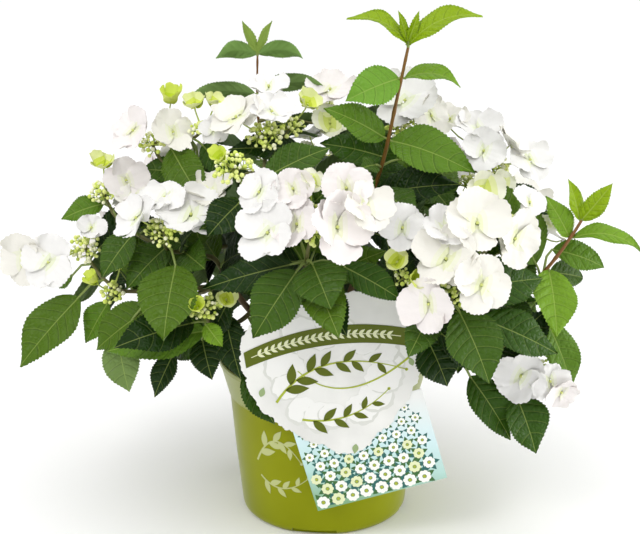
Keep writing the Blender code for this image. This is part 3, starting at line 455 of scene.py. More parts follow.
def leaf_axes(leaf):
    """The way a blade points, its left side and its upper side."""
    ahead = unit(leaf.bearing, leaf.pitch)
    foot = Vector(leaf.foot)
    outward = Vector((foot.x, foot.y - PLANT_MIDDLE.y, 0)).normalized()
    sideways, frontward, upward = BLADE_LEAN
    if foot.y < PLANT_MIDDLE.y:
        frontward = -frontward
    upper = across(ahead, Vector((sideways * outward.x, frontward, upward)))
    upper = Matrix.Rotation(math.radians(leaf.turn), 3, ahead) @ upper
    return ahead, upper.cross(ahead), upper


def half_width(leaf, along):
    """Half the blade's width at a fraction of its length."""
    return leaf.width / 2 * math.sin(math.pi * along ** WIDEST_POWER) ** FULLNESS


def leaf_point(leaf, axes, along, across_blade):
    """A point of the blade: along runs from foot 0 to tip 1, across_blade from left -1 to right 1."""
    ahead, left, upper = axes
    crown = leaf.length * math.tan(math.radians(leaf.arch)) * along * (1 - along)
    half = half_width(leaf, along) if 0 < along < 1 else 0
    lift = crown + LEAF_FOLD * half * abs(across_blade)
    return Vector(leaf.foot) + ahead * (leaf.length * along) - left * (half * across_blade) + upper * lift


def leaf_solid(leaf, stalk_route, blade_stations, swell=0.0):
    """A blade and its stalk as one closed solid; swell thickens it all round."""
    axes = leaf_axes(leaf)
    ahead, left, upper = axes
    radii = [PETIOLE_RADIUS + swell] * len(stalk_route)
    rings = tube_rings(stalk_route[:-1], radii, TWIG_SIDES, upper)
    rings.append(circle(Vector(leaf.foot), left, upper, PETIOLE_RADIUS + swell, TWIG_SIDES, 90))
    thick = LEAF_THICKNESS / 2 + swell
    for along in blade_stations:
        middle = leaf_point(leaf, axes, along, 0)
        left_edge = leaf_point(leaf, axes, along, -1) + left * swell
        right_edge = leaf_point(leaf, axes, along, 1) - left * swell
        rings.append([middle + upper * thick, right_edge, middle - upper * thick, left_edge])
    rings.append([leaf_point(leaf, axes, 1, 0) + ahead * swell])
    return loft(rings)


def floret_solid(centre, facing, width, root, first, swell=0.0):
    """Four sepals and their stalk as one closed solid."""
    side, front = flat_axes(facing)
    stalk_way = (centre - root).normalized()
    rings = [circle(root, across(stalk_way, front).cross(stalk_way), across(stalk_way, front),
                    PEDICEL_RADIUS + swell, TWIG_SIDES, first)]
    under = centre - facing * (FLORET_THICKNESS + swell)
    rings.append(circle(under, side, front, PEDICEL_RADIUS * 1.6 + swell, TWIG_SIDES, first))
    outline = []
    for index in range(8):
        reach = width * SEPAL_REACH[index % 2] + swell
        cup = facing * (width * SEPAL_CUP[index % 2])
        turn = math.radians(first + 45 * index)
        outline.append(centre + cup + side * (reach * math.cos(turn)) + front * (reach * math.sin(turn)))
    rings.append(outline)
    rings.append([centre + facing * (FLORET_THICKNESS / 2 + swell)])
    return loft(rings)


def bud_cluster_solid(hub, facing, span, swell=0.0):
    """The low dome of small buds in the middle of a flower head."""
    side, front = flat_axes(facing)
    depth = span * BUD_DEPTH
    return loft([
        [hub - facing * (depth * 0.6 + swell)],
        circle(hub, side, front, span + swell, 6),
        circle(hub + facing * depth * 0.7, side, front, span * 0.6 + swell, 6, 30),
        [hub + facing * (depth + swell)],
    ])


# ---------------------------------------------------------------- keeping solids apart

def organ(plan, solid):
    """A finished piece: its plan, and its plain solid's search tree and box."""
    low = Vector(min(p[axis] for p in solid.points) for axis in range(3))
    high = Vector(max(p[axis] for p in solid.points) for axis in range(3))
    return Organ(plan, BVHTree.FromPolygons(solid.points, solid.faces), low, high)


def twig_solid(route, radii, swell=0.0, first=90):
    """A plain three-sided twig; swell thickens it all round."""
    return loft(tube_rings(route, [radius + swell for radius in radii], TWIG_SIDES, first=first))


def is_clear(swollen, others):
    """Whether a thickened solid meets none of the other organs."""
    probe = organ(None, swollen)
    for other in others:
        apart = any(probe.low[axis] > other.high[axis] or probe.high[axis] < other.low[axis]
                    for axis in range(3))
        if not apart and probe.tree.overlap(other.tree):
            return False
    return True


# ---------------------------------------------------------------- how a spray grows

def joining_route(twigs, end, end_way, steps):
    """Routes from places on the spray's own twigs to an end, the shortest first.

    No two roots lie in quite the same place, so that no two stalks meet edge to edge.
    """
    rng = random.Random(round(end.x * 7 + end.y * 5 + end.z * 3 + end_way.x * 11))
    places = []
    for twig in twigs:
        for point, way in zip(twig.route, headings(twig.route)):
            reach = end - point
            flat = max(0, LEAST_RISE - reach.z)
            turning_back = max(0, SHORTEST_STALK - reach.dot(end_way))
            if reach.length > SHORTEST_STALK:
                cost = reach.length + RISE_COST * flat + TURN_COST * turning_back
                places.append((cost, tuple(point), point, way))
    places.sort(key=lambda place: place[:2])
    for _, _, point, way in places[:ROUTE_TRIES]:
        scatter = Vector(rng.uniform(-ROOT_SCATTER, ROOT_SCATTER) for _ in range(3))
        root = point - way * ROOT_DEPTH + scatter
        away = (end - root).normalized()
        yield bezier(root, (way + away).normalized(), end, end_way, steps)


def clear_stalk(hub, facing, twigs, others, name):
    """The first stalk from the spray's twigs to a hub that touches nothing else."""
    arrival = (facing + UP).normalized()
    for route in joining_route(twigs, hub, arrival, 3):
        radii = tapered(STALK_RADIUS, len(route))
        if is_clear(twig_solid(route, radii, CLEARANCE), others):
            return Twig(route, radii)
    raise ValueError(f"{name}: no clear stalk to the head at {tuple(hub)}")


def grow_head(head, twigs, others, organs, faces, name):
    """A stalk, its dome of buds and the ring of florets round it."""
    facing = unit(head.bearing, head.pitch)
    hub = Vector(head.hub)
    stalk = clear_stalk(hub, facing, twigs, others, name)
    twigs.append(stalk)
    organs.append(organ(stalk, twig_solid(*stalk, first=25)))
    organs.append(organ(Buds(hub, facing, head.span), bud_cluster_solid(hub, facing, head.span)))
    side, above = flat_axes(facing)
    for index, (hour, reach, width, *tone) in enumerate(head.florets):
        radial = between(above, side, math.radians(30 * hour))
        centre = hub + radial * reach + facing * (head.span + FLORET_RISE - FLORET_FALL * reach)
        floret_facing = (facing + radial * RADIAL_TILT).normalized()
        root = hub + radial * (head.span * FLORET_ROOT)
        first = FLORET_TURN[0] + FLORET_TURN[1] * index % 60
        if not is_clear(floret_solid(centre, floret_facing, width, root, first, CLEARANCE), others):
            raise ValueError(f"{name}: no room for the floret at {hour} o'clock round {head.hub}")
        plan = Floret(centre, floret_facing, width, root, first, *tone)
        organs.append(organ(plan, floret_solid(centre, floret_facing, width, root, first)))
        faces.append((centre, floret_facing))


def place_leaf(leaf, twigs, others, organs, name):
    """Joins a leaf to the nearest of the spray's twigs that it can reach."""
    ahead = unit(leaf.bearing, leaf.pitch)
    for route in joining_route(twigs, Vector(leaf.foot), ahead, 2):
        if is_clear(leaf_solid(leaf, route, NAMED_BLADE, CLEARANCE), others):
            organs.append(organ(PlacedLeaf(leaf, route), leaf_solid(leaf, route, NAMED_BLADE)))
            return
    raise ValueError(f"{name}: no room for the leaf at {leaf.foot}")


def pair_leaf(node, way, radial, petiole, length):
    """One leaf of a pair: it leaves the shoot sideways and droops a little."""
    onward, droop = PAIR_WAY
    ahead = (way * onward + radial - UP * droop).normalized()
    bearing = math.degrees(math.atan2(ahead.y, ahead.x))
    pitch = math.degrees(math.asin(max(-1, min(1, ahead.z))))
    foot = node + (way * PETIOLE_WAY + radial).normalized() * petiole
    return Leaf(tuple(foot), bearing, pitch, length, length * LEAF_PROPORTION)


def leaf_pairs(twigs, rng, lengths):
    """Leaves in pairs down every shoot, each pair square to the last; each comes with alternatives."""
    for twig in twigs:
        roll = rng.uniform(0, math.pi)
        walked = rng.uniform(*FIRST_NODE)
        points = list(reversed(twig.route))
        for outer, inner in zip(points, points[1:]):
            stretch = (outer - inner).length
            way = (outer - inner).normalized()
            side = way.orthogonal().normalized()
            front = way.cross(side)
            while walked < stretch:
                node = outer - way * walked
                for half_turn in (0, math.pi):
                    length = rng.uniform(*lengths)
                    petiole = rng.uniform(*PETIOLE_LENGTHS)
                    choices = []
                    for twist, scale in LEAF_TRIES:
                        radial = between(side, front, roll + half_turn + math.radians(twist))
                        choices.append(pair_leaf(node, way, radial, petiole, length * scale))
                    yield node, choices
                roll += math.pi / 2
                walked += NODE_SPACING
            walked -= stretch


def along_leaf(leaf, share=1):
    """The point this share of the way down a leaf, its tip unless told otherwise."""
    return Vector(leaf.foot) + unit(leaf.bearing, leaf.pitch) * leaf.length * share


def reach_squared(place):
    """The square of a place's distance from the crown's middle, where the outline is at 1."""
    offset = place - PLANT_MIDDLE
    return sum((offset[axis] / CROWN_REACH[axis]) ** 2 for axis in range(3))


def in_crown(leaf):
    """Whether a leaf's tip stays inside the crown's outline and above its underside."""
    tip = along_leaf(leaf)
    return reach_squared(tip) < 1 and tip.z > (FRONT_UNDERSIDE if tip.y < 0 else BACK_UNDERSIDE)


def hides_a_flower(leaf, faces):
    """Whether a leaf stands before the face of a floret."""
    middle = along_leaf(leaf, LEAF_MIDDLE)
    nearest, facing_share = FLOWER_SPACE
    for centre, facing in faces:
        toward = middle - centre
        if toward.length < nearest and toward.normalized().dot(facing) > facing_share:
            return True
    return False


# ---------------------------------------------------------------- pot, compost and stump

def inner_radius(height):
    """The radius of the pot's inner wall at a height."""
    if height < COLLAR_HEIGHT:
        outer = FOOT_RADIUS + (COLLAR_RADIUS - FOOT_RADIUS) * height / COLLAR_HEIGHT
    else:
        outer = COLLAR_RADIUS + (RIM_RADIUS - COLLAR_RADIUS) * (height - COLLAR_HEIGHT) / (
            POT_HEIGHT - COLLAR_HEIGHT)
    return outer - WALL


def pot_solid():
    profile = [
        (0, 0), (FOOT_RADIUS - 8, 0), (FOOT_RADIUS - 2, 2), (FOOT_RADIUS, 8),
        (COLLAR_RADIUS - 0.5, COLLAR_HEIGHT - 2), (COLLAR_RADIUS + 0.8, COLLAR_HEIGHT + 2),
        (RIM_RADIUS - 0.5, POT_HEIGHT - 1), (RIM_RADIUS - 1, POT_HEIGHT),
        (RIM_RADIUS - WALL, POT_HEIGHT), (inner_radius(COLLAR_HEIGHT), COLLAR_HEIGHT),
        (FOOT_RADIUS - 4, FLOOR + 6), (FOOT_RADIUS - 8, FLOOR), (0, FLOOR),
    ]
    return turned(profile, POT_SIDES)


def compost_solid():
    """The compost that fills the pot, flat in the middle where the stump stands."""
    gap = SEAT_GAP
    edge = COMPOST_TOP - 2
    profile = [
        (0, FLOOR + gap), (FOOT_RADIUS - 8 - gap, FLOOR + gap), (FOOT_RADIUS - 4 - gap, FLOOR + 6 + gap),
        (inner_radius(COLLAR_HEIGHT) - gap, COLLAR_HEIGHT), (inner_radius(edge) - gap, edge),
        (inner_radius(edge) - 12, COMPOST_TOP + 1), (45, COMPOST_TOP - 1),
        (26, COMPOST_TOP), (0, COMPOST_TOP),
    ]
    return turned(profile, POT_SIDES)


def stump_solid():
    foot = COMPOST_TOP + SEAT_GAP
    profile = [(radius, foot + height) for radius, height in (STUMP_FLARE, STUMP_WAIST, STUMP_TOP)]
    profile = [(0, foot)] + profile + [(0, foot + STUMP_TOP[1])]
    return turned(profile, CANE_COUNT, 180 / CANE_COUNT - 90)


def cane_foot(cane):
    """Where a cane leaves the stump, and which way: square to its own flat of the stump."""
    foot = COMPOST_TOP + SEAT_GAP
    if cane.bearing is None:
        return Vector((0, 0, foot + STUMP_TOP[1] + SEAT_GAP)), UP
    apothem = math.cos(math.pi / CANE_COUNT)
    run = (STUMP_WAIST[0] - STUMP_TOP[0]) * apothem
    rise = STUMP_TOP[1] - STUMP_WAIST[1]
    way = unit(cane.bearing, math.degrees(math.atan2(run, rise)))
    middle = unit(cane.bearing, 0) * ((STUMP_WAIST[0] + STUMP_TOP[0]) / 2 * apothem)
    middle.z = foot + (STUMP_WAIST[1] + STUMP_TOP[1]) / 2
    return middle + way * SEAT_GAP, way


def cane_rings(cane):
    """Rings of a tapering cane that ends in a swollen, pruned knob round its tip."""
    foot, way = cane_foot(cane)
    tip = Vector(cane.tip)
    tip_way = ((tip - foot).normalized() + UP * CANE_RISE).normalized()
    neck = tip - tip_way * KNOB_RADIUS * KNOB_NECK
    route = [foot] + bezier(foot + way * SEAT_LENGTH, way, neck, tip_way, 4)
    radii = tapered((CANE_FOOT_RADIUS, CANE_TIP_RADIUS), len(route))
    for share_along, share_round in KNOB_RINGS:
        route.append(tip + tip_way * KNOB_RADIUS * share_along)
        radii.append(KNOB_RADIUS * share_round)
    return tube_rings(route, radii, CANE_SIDES)


def shoot_start(cane, toward):
    """The first two points of a shoot: square to the knob and just clear of it, toward a point."""
    tip = Vector(cane.tip)
    way = (toward - tip).normalized()
    knob = [point for ring in cane_rings(cane)[-len(KNOB_RINGS):] for point in ring]
    reach = max((point - tip).dot(way) for point in knob)
    start = tip + way * (reach + SEAT_GAP)
    return [start, start + way * SEAT_LENGTH]


# ---------------------------------------------------------------- hang tag

TAG_TURN = 12.5         # the tag leans: its right side is higher
TAG_MIDDLE = Vector((9, -99.5, 164))
TAG_THICKNESS = 0.8
TAG_HALF_OUTLINE = [(0, -75), (24, -61), (46, -44), (62, -27), (72, -8), (75, 14),
                    (74, 36), (67, 53), (46, 64), (22, 70), (0, 68)]
SCALLOP = 0.12          # how far each scallop bulges, per unit of its chord
PICTURE_MIDDLE = Vector((38.5, -98.3, 93.5))
PICTURE_SIZE = (116, 86)
PICTURE_TURN = 16
HOOK_WIDTH = 24
HOOK_DROP = 10          # how far the hook reaches down inside the pot


def scalloped(corners, steps):
    """An outline whose every edge bulges outward in an arc."""
    outline = []
    for start, end in zip(corners, corners[1:] + corners[:1]):
        start, end = Vector(start), Vector(end)
        outward = Vector((end.y - start.y, start.x - end.x))
        for step in range(steps):
            t = step / steps
            outline.append(start.lerp(end, t) + outward * (SCALLOP * 4 * t * (1 - t)))
    return outline


def card_place(middle, turn):
    """How the flat of an upright card that faces -Y stands in space; level is out of its face."""
    spin = Matrix.Rotation(math.radians(-turn), 3, 'Y')

    def place(u, v, level):
        return middle + spin @ Vector((u, 0, v)) - Vector((0, TAG_THICKNESS / 2 + level, 0))
    return place


def card(outline, middle, turn):
    """A thin upright card with this outline."""
    place = card_place(middle, turn)
    return loft([[place(x, z, level) for x, z in outline] for level in (-TAG_THICKNESS, 0)])


def box(low, high):
    """A box between two corners."""
    corners = [(low[0], low[1]), (high[0], low[1]), (high[0], high[1]), (low[0], high[1])]
    return loft([[Vector((x, y, z)) for x, y in corners] for z in (low[2], high[2])])


def tag_outline(steps):
    """The front card's scalloped outline, its left half mirrored from the right."""
    return scalloped(TAG_HALF_OUTLINE + [(-x, z) for x, z in reversed(TAG_HALF_OUTLINE[1:-1])], steps)


def strap_solids():
    """The strap that hooks the front card over the pot's rim."""
    inside = 1.5 - inner_radius(POT_HEIGHT - HOOK_DROP)
    top = POT_HEIGHT + SEAT_GAP
    half = HOOK_WIDTH / 2
    return [box((-half, TAG_MIDDLE.y, top), (half, inside + 1, top + 1)),
            box((-half + 0.2, inside, top - HOOK_DROP), (half - 0.2, inside + 0.9, top + 0.6))]


def picture_outline():
    x, z = PICTURE_SIZE[0] / 2, PICTURE_SIZE[1] / 2
    return [(-x, -z), (x, -z), (x, z), (-x, z)]


# ---------------------------------------------------------------- the whole plant

def grow_stem(spray, others, name):
    """The spray's own stem, from its cane's knob through every station."""
    stations = [Vector(station) for station in spray.stem]
    start = shoot_start(CANES[spray.cane], stations[0])
    route = start[:1] + smooth_route(start[1:] + stations, 2)
    radii = tapered(STEM_RADIUS, len(route))
    if not is_clear(twig_solid(route, radii, CLEARANCE), others):
        raise ValueError(f"{name}: the stem meets another spray")
    return Twig(route, radii)


def grow_named_parts(fixed, grown, faces):
    """Stems, flower heads and the leaves that shape the outline, spray by spray."""
    twigs_of = {}
    for name, spray in SPRAYS.items():
        neighbours = [piece for other in grown.values() for piece in other]
        stem = grow_stem(spray, neighbours, name)
        twigs = [stem]
        organs = [organ(stem, twig_solid(*stem))]
        for head in spray.heads:
            grow_head(head, twigs, fixed + neighbours, organs, faces, name)
        for leaf in spray.leaves:
            place_leaf(leaf, twigs, fixed + neighbours, organs, name)
        grown[name] = organs
        twigs_of[name] = twigs
    return twigs_of


def first_clear_leaf(node, choices, own, others, faces):
    """The first of the alternative leaves that has room, as an organ, or None."""
    for leaf in choices:
        if not in_crown(leaf) or hides_a_flower(leaf, faces):
            continue
        route = [node, Vector(leaf.foot)]
        solid = leaf_solid(leaf, route, FILLING_BLADE)
        if is_clear(solid, own) and is_clear(leaf_solid(leaf, route, FILLING_BLADE, CLEARANCE), others):
            return organ(PlacedLeaf(leaf, route), solid)
    return None


def fill_with_leaves(twigs_of, fixed, grown, faces, seed, lengths, extra):
    """Adds leaf pairs to every spray in turn, where they find room."""
    rng = random.Random(seed)
    for name in SPRAYS:
        others = fixed + [piece for key, other in grown.items() if key != name for piece in other]
        own = [piece for piece in grown[name] if not isinstance(piece.plan, Twig)]
        placed = 0
        for node, choices in leaf_pairs(twigs_of[name], rng, lengths):
            if placed == extra:
                break
            found = first_clear_leaf(node, choices, own, others, faces)
            if found:
                own.append(found)
                grown[name].append(found)
                placed += 1


def grow_plant():
    """Every organ of every spray, with the pot and canes as barriers."""
    barriers = [pot_solid(), compost_solid(), stump_solid(), *strap_solids(),
                card(picture_outline(), PICTURE_MIDDLE, PICTURE_TURN),
                card(tag_outline(2), TAG_MIDDLE, TAG_TURN)]
    barriers += [loft(cane_rings(cane)) for cane in CANES.values()]
    fixed = [organ(None, solid) for solid in barriers]
    grown, faces = {}, []
    twigs_of = grow_named_parts(fixed, grown, faces)
    fill_with_leaves(twigs_of, fixed, grown, faces, SEED, LEAF_LENGTHS, EXTRA_LEAVES)
    fill_with_leaves(twigs_of, fixed, grown, faces, SMALL_LEAF_SEED, SMALL_LEAF_LENGTHS, SMALL_LEAVES)
    return grown


# ---------------------------------------------------------------- colours and finishes

def colour(red, green, blue):
    """A linear colour from display values of 0 to 255."""
    shares = []
    for value in (red, green, blue):
        share = value / 255
        shares.append(share / 12.92 if share <= 0.04045 else ((share + 0.055) / 1.055) ** 2.4)
    return tuple(shares)


def mixed(colour_a, colour_b, share):
    return tuple(a + (b - a) * share for a, b in zip(colour_a, colour_b))


# the near-black tone is painted shade, for leaves deep inside the crown only
LEAF_TONES = {
    "dark_a": (46, 78, 8), "dark_b": (76, 106, 20), "dark_c": (24, 50, 4), "dark_d": (60, 90, 20),
    "deep": (8, 22, 4), "mid": (88, 124, 30), "fresh": (110, 148, 34), "lime": (136, 166, 16),
    "spring": (112, 158, 52), "pale": (112, 138, 74),
}
OUTER_TONES = ("dark_a", "dark_b", "dark_c", "dark_d")
# leaves inside the crown take only the darkest greens: painted shade
INNER_SHADE_TONES = ("dark_c", "deep")
INNER_REACH = 0.48      # a leaf whose foot lies within this share of the crown's reach is an inner one, painted in darker greens as shade
VEIN_TONE = (176, 192, 104)
UNDERSIDE_TONE = (140, 160, 118)
BLACK = (0, 0, 0)
BLADE_SHADES = (        # part of the blade, what its tone is mixed with and how far
    ("_vein", VEIN_TONE, 0.13), ("_rib", VEIN_TONE, 0.36), ("_under", UNDERSIDE_TONE, 0.36))
PETAL_TONES = {         # a sepal's edge, its throat and its heart
    "white": ((237, 236, 234), (236, 237, 227), (228, 233, 204)),
    "cream": ((236, 234, 226), (234, 235, 216), (228, 232, 194)),
    "blush": ((238, 233, 231), (236, 234, 223), (229, 231, 200)),
    "greenish": ((235, 236, 216), (226, 232, 170), (206, 218, 110)),
    "young": ((228, 234, 168), (210, 222, 92), (188, 204, 50)),
    "cup": ((222, 234, 112), (206, 222, 72), (182, 200, 44)),
}
PLAIN_TONES = {         # and how rough each is
    "floret_eye": ((200, 208, 120), 0.5), "bud_green": ((212, 228, 104), 0.5),
    "bud_pale": ((236, 244, 150), 0.5), "bud_cream": ((250, 250, 214), 0.5),
    "pedicel": ((178, 194, 92), 0.55), "ray": ((146, 154, 70), 0.6),
    "petiole": ((132, 150, 74), 0.5), "stalk": ((104, 104, 54), 0.55),
    "stem_green": ((98, 94, 48), 0.6), "stem_brown": ((124, 86, 26), 0.55),
    "stem_russet": ((124, 80, 30), 0.55), "pot_print": ((190, 196, 130), 0.4),
    "bark_chip": ((96, 66, 42), 0.9),
}
PRINT_TONES = {
    "tag_petal": (236, 236, 233), "tag_petal_shade": (214, 215, 209), "print_olive": (88, 100, 8),
    "print_lime": (164, 178, 58), "print_pale": (226, 229, 190), "print_sage": (150, 170, 120),
    "print_leaf": (64, 108, 58), "print_teal": (48, 104, 98), "print_white": (246, 247, 240),
    "print_cream": (228, 233, 190),
}
SKY_STOPS = (           # the lower card's ground, from its foot to its top
    (0.0, (120, 166, 120)), (0.3, (176, 214, 206)), (0.6, (206, 232, 236)), (1.0, (236, 238, 236)))
SKY_SPAN = 50           # how far that ground's first and last tone lie below and above its middle
NOISE_DETAIL = 6
NOISE_LOW = 0.3         # where on the noise a patterned finish has its first colour and its second
NOISE_HIGH = 0.72


def set_inputs(node, **inputs):
    """Gives sockets their values, or a link where the value is another node's output."""
    for name, value in inputs.items():
        socket = node.inputs[name.replace("_", " ")]
        if isinstance(value, bpy.types.NodeSocket):
            node.id_data.links.new(value, socket)
        else:
            socket.default_value = value


def add_node(tree, kind, **inputs):
    made = tree.nodes.new(f"ShaderNode{kind}")
    set_inputs(made, **inputs)
    return made


def set_stops(ramp, stops):
    """Gives a ramp its stops, pairs of a position and a display colour, the lowest first."""
    elements = ramp.color_ramp.elements
    elements[0].position, elements[1].position = stops[0][0], stops[-1][0]
    for position, _ in stops[1:-1]:
        elements.new(position)
    for element, (_, tone) in zip(elements, stops):
        element.color = (*colour(*tone), 1)


def plain_material(name, base, roughness, **inputs):
    """A material of one base colour; inputs name further sockets of the shader."""
    made = bpy.data.materials.new(name)
    made.use_nodes = True
    shader = made.node_tree.nodes["Principled BSDF"]
    set_inputs(shader, Base_Color=(*base, 1), Roughness=roughness, **inputs)
    return made


def add_relief(tree, height, strength, distance):
    """Makes the surface follow a height, over this distance in metres."""
    relief = add_node(tree, "Bump", Strength=strength, Distance=distance, Height=height)
    set_inputs(tree.nodes["Principled BSDF"], Normal=relief.outputs["Normal"])


def relief_material(name, base, roughness, kind, scale, strength, distance, **inputs):
    """A material of one base colour whose relief is a fine pattern in the piece's own space."""
    tree = plain_material(name, base, roughness, **inputs).node_tree
    place = add_node(tree, "TexCoord").outputs["Object"]
    pattern = add_node(tree, kind, Vector=place, Scale=scale)
    if kind == "TexVoronoi":
        pattern.feature = 'DISTANCE_TO_EDGE'
    add_relief(tree, pattern.outputs[0], strength, distance)


def patterned_material(name, tones, roughness, scale, strength, distance, stretch=(1, 1, 1), **inputs):
    """A material whose colour and relief come from one noise in the piece's own space."""
    tree = plain_material(name, colour(*tones[0]), roughness, **inputs).node_tree
    place = add_node(tree, "TexCoord").outputs["Object"]
    mapping = add_node(tree, "Mapping", Vector=place, Scale=stretch)
    pattern = add_node(tree, "TexNoise", Vector=mapping.outputs["Vector"], Scale=scale, Detail=NOISE_DETAIL)
    ramp = add_node(tree, "ValToRGB", Fac=pattern.outputs["Fac"])
    set_stops(ramp, ((NOISE_LOW, tones[0]), (NOISE_HIGH, tones[1])))
    set_inputs(tree.nodes["Principled BSDF"], Base_Color=ramp.outputs["Color"])
    add_relief(tree, pattern.outputs["Fac"], strength, distance)


def plant_materials():
    """Blades with small veins in relief and painted shade beside each vein, their parts in shades of the same
    tone, petals and stems.
    """
    for tone, display in LEAF_TONES.items():
        base = colour(*display)
        # each tone also comes darkened toward black: painted shade for the row just past each vein
        for part, share in (("", 0), ("_hollow", 0.22)):
            relief_material(f"leaf_{tone}{part}", mixed(base, BLACK, share), 0.38, "TexVoronoi",
                            scale=240, strength=0.8, distance=0.0016, Specular_IOR_Level=0.17)
        for part, other, share in BLADE_SHADES:
            roughness = 0.65 if part == "_under" else 0.5
            shade = mixed(base, colour(*other), share)
            plain_material(f"leaf_{tone}{part}", shade, roughness, Specular_IOR_Level=0.15)
    for tone, (edge, throat, heart) in PETAL_TONES.items():
        relief_material(f"petal_{tone}", colour(*edge), 0.6, "TexNoise",
                        scale=170, strength=0.35, distance=0.0012, Specular_IOR_Level=0.3)
        plain_material(f"petal_{tone}_throat", colour(*throat), 0.6, Specular_IOR_Level=0.3)
        plain_material(f"petal_{tone}_heart", colour(*heart), 0.6, Specular_IOR_Level=0.3)
    for name, (display, roughness) in PLAIN_TONES.items():
        plain_material(name, colour(*display), roughness)


def pot_materials():
    patterned_material("pot_body", ((136, 142, 0), (146, 152, 4)), 0.45,
                       scale=14, strength=0.12, distance=0.0004,
                       Specular_IOR_Level=0.12, Sheen_Weight=0.55, Sheen_Roughness=0.3)
    patterned_material("pot_collar", ((148, 156, 78), (160, 168, 92)), 0.42,
                       scale=14, strength=0.12, distance=0.0004, Coat_Weight=0.2, Coat_Roughness=0.3)
    patterned_material("furrowed_bark", ((72, 52, 34), (146, 116, 80)), 0.65,
                       scale=90, strength=0.6, distance=0.0006, stretch=(1, 1, 0.25))
    patterned_material("lumpy_compost", ((30, 22, 16), (78, 58, 42)), 0.65,
                       scale=160, strength=0.9, distance=0.0015)


def card_materials():
    """The tag's card, the inks, and the lower card's ground, which turns from green to pale sky."""
    patterned_material("tag_card", ((218, 218, 214), (238, 238, 234)), 0.34,
                       scale=22, strength=0.02, distance=0.0001, Coat_Weight=0.2, Coat_Roughness=0.2)
    for name, display in PRINT_TONES.items():
        plain_material(name, colour(*display), 0.4,
                       Specular_IOR_Level=0.2, Coat_Weight=0.05, Coat_Roughness=0.2)
    sky = plain_material("picture_sky", colour(214, 234, 234), 0.3, Coat_Weight=0.4, Coat_Roughness=0.15)
    tree = sky.node_tree
    parts = add_node(tree, "SeparateXYZ", Vector=add_node(tree, "TexCoord").outputs["Object"])
    height = add_node(tree, "MapRange", Value=parts.outputs["Z"],
                      From_Min=(PICTURE_MIDDLE.z - SKY_SPAN) * MM,
                      From_Max=(PICTURE_MIDDLE.z + SKY_SPAN) * MM)
    ramp = add_node(tree, "ValToRGB", Fac=height.outputs["Result"])
    set_stops(ramp, SKY_STOPS)
    set_inputs(tree.nodes["Principled BSDF"], Base_Color=ramp.outputs["Color"])


# ---------------------------------------------------------------- pieces

def new_object(name, data):
    """An object of this data, linked into the scene."""
    made = bpy.data.objects.new(name, data)
    bpy.context.scene.collection.objects.link(made)
    return made


def new_mesh(name, points, faces):
    """A mesh in metres from points in millimetres."""
    mesh = bpy.data.meshes.new(name)
    mesh.from_pydata([point * MM for point in points], [], faces)
    return mesh


class Batch:
    """The growing mesh of one piece: its points, its faces and each face's material."""

    def __init__(self, name):
        self.name, self.points, self.faces, self.paints = name, [], [], []

    def add(self, points, faces, paints):
        """Adds faces that number their own points; paints is one material name, or one for each face."""
        first = len(self.points)
        self.points.extend(points)
        self.faces.extend(tuple(first + number for number in face) for face in faces)
        self.paints.extend([paints] * len(faces) if isinstance(paints, str) else paints)

    def add_solid(self, solid, paint):
        self.add(solid.points, solid.faces, paint)

    def add_tube(self, route, radii, sides, paint):
        self.add_solid(loft(tube_rings(route, radii, sides)), paint)

    def add_plate(self, patch, place, level, thickness, paint):
        self.add_solid(plate(patch, place, level, thickness), paint)

    def add_solid_shell(self, top, under, rows, columns, row_paints):
        """A closed shell between two sheets of points in a grid, painted row by row."""
        count = len(top)
        upper = grid_faces(rows, columns)
        lower = [tuple(number + count for number in reversed(face)) for face in upper]
        rim = [row * columns for row in range(rows)]
        rim += [(rows - 1) * columns + column for column in range(1, columns)]
        rim += [row * columns + columns - 1 for row in range(rows - 2, -1, -1)]
        rim += list(range(columns - 2, 0, -1))
        sides = [(a, b, b + count, a + count) for a, b in zip(rim, rim[1:] + rim[:1])]
        paints = [row_paints[index // (columns - 1)] for index in range(len(upper))]
        self.add(top + under, upper + lower + sides, paints + paints + [row_paints[-1]] * len(sides))


def made_piece(batch, nodes, crease=50):
    """The piece's object, shaded smooth up to a crease angle, riding on the root in place of its nodes."""
    mesh = new_mesh(batch.name, batch.points, batch.faces)
    names = sorted(set(batch.paints))
    for name in names:
        mesh.materials.append(bpy.data.materials[name])
    numbers = {name: number for number, name in enumerate(names)}
    mesh.polygons.foreach_set("material_index", [numbers[paint] for paint in batch.paints])
    mesh.polygons.foreach_set("use_smooth", [True] * len(batch.faces))
    tidy = bmesh.new()
    tidy.from_mesh(mesh)
    bmesh.ops.recalc_face_normals(tidy, faces=tidy.faces)
    tidy.to_mesh(mesh)
    tidy.free()
    mesh.set_sharp_from_angle(angle=math.radians(crease))
    made = new_object(batch.name, mesh)
    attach(made, "root")
    if nodes:
        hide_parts(*nodes)


def grid_faces(rows, columns):
    """Quads between the points of a grid that are numbered row by row."""
    faces = []
    for row in range(rows - 1):
        for column in range(columns - 1):
            corner = row * columns + column
            faces.append((corner, corner + 1, corner + columns + 1, corner + columns))
    return faces


def ball_solid(centre, axis, radius, sides=6):
    """A small round bud or bead about an axis."""
    side = across(axis, UP)
    front = axis.cross(side)
    rings = [[centre - axis * radius]]
    for height, share in ((-0.5, 0.86), (0.1, 1), (0.68, 0.72)):
        rings.append(circle(centre + axis * (radius * height), side, front, radius * share, sides))
    rings.append([centre + axis * radius])
    return loft(rings)


# ---------------------------------------------------------------- fine leaves

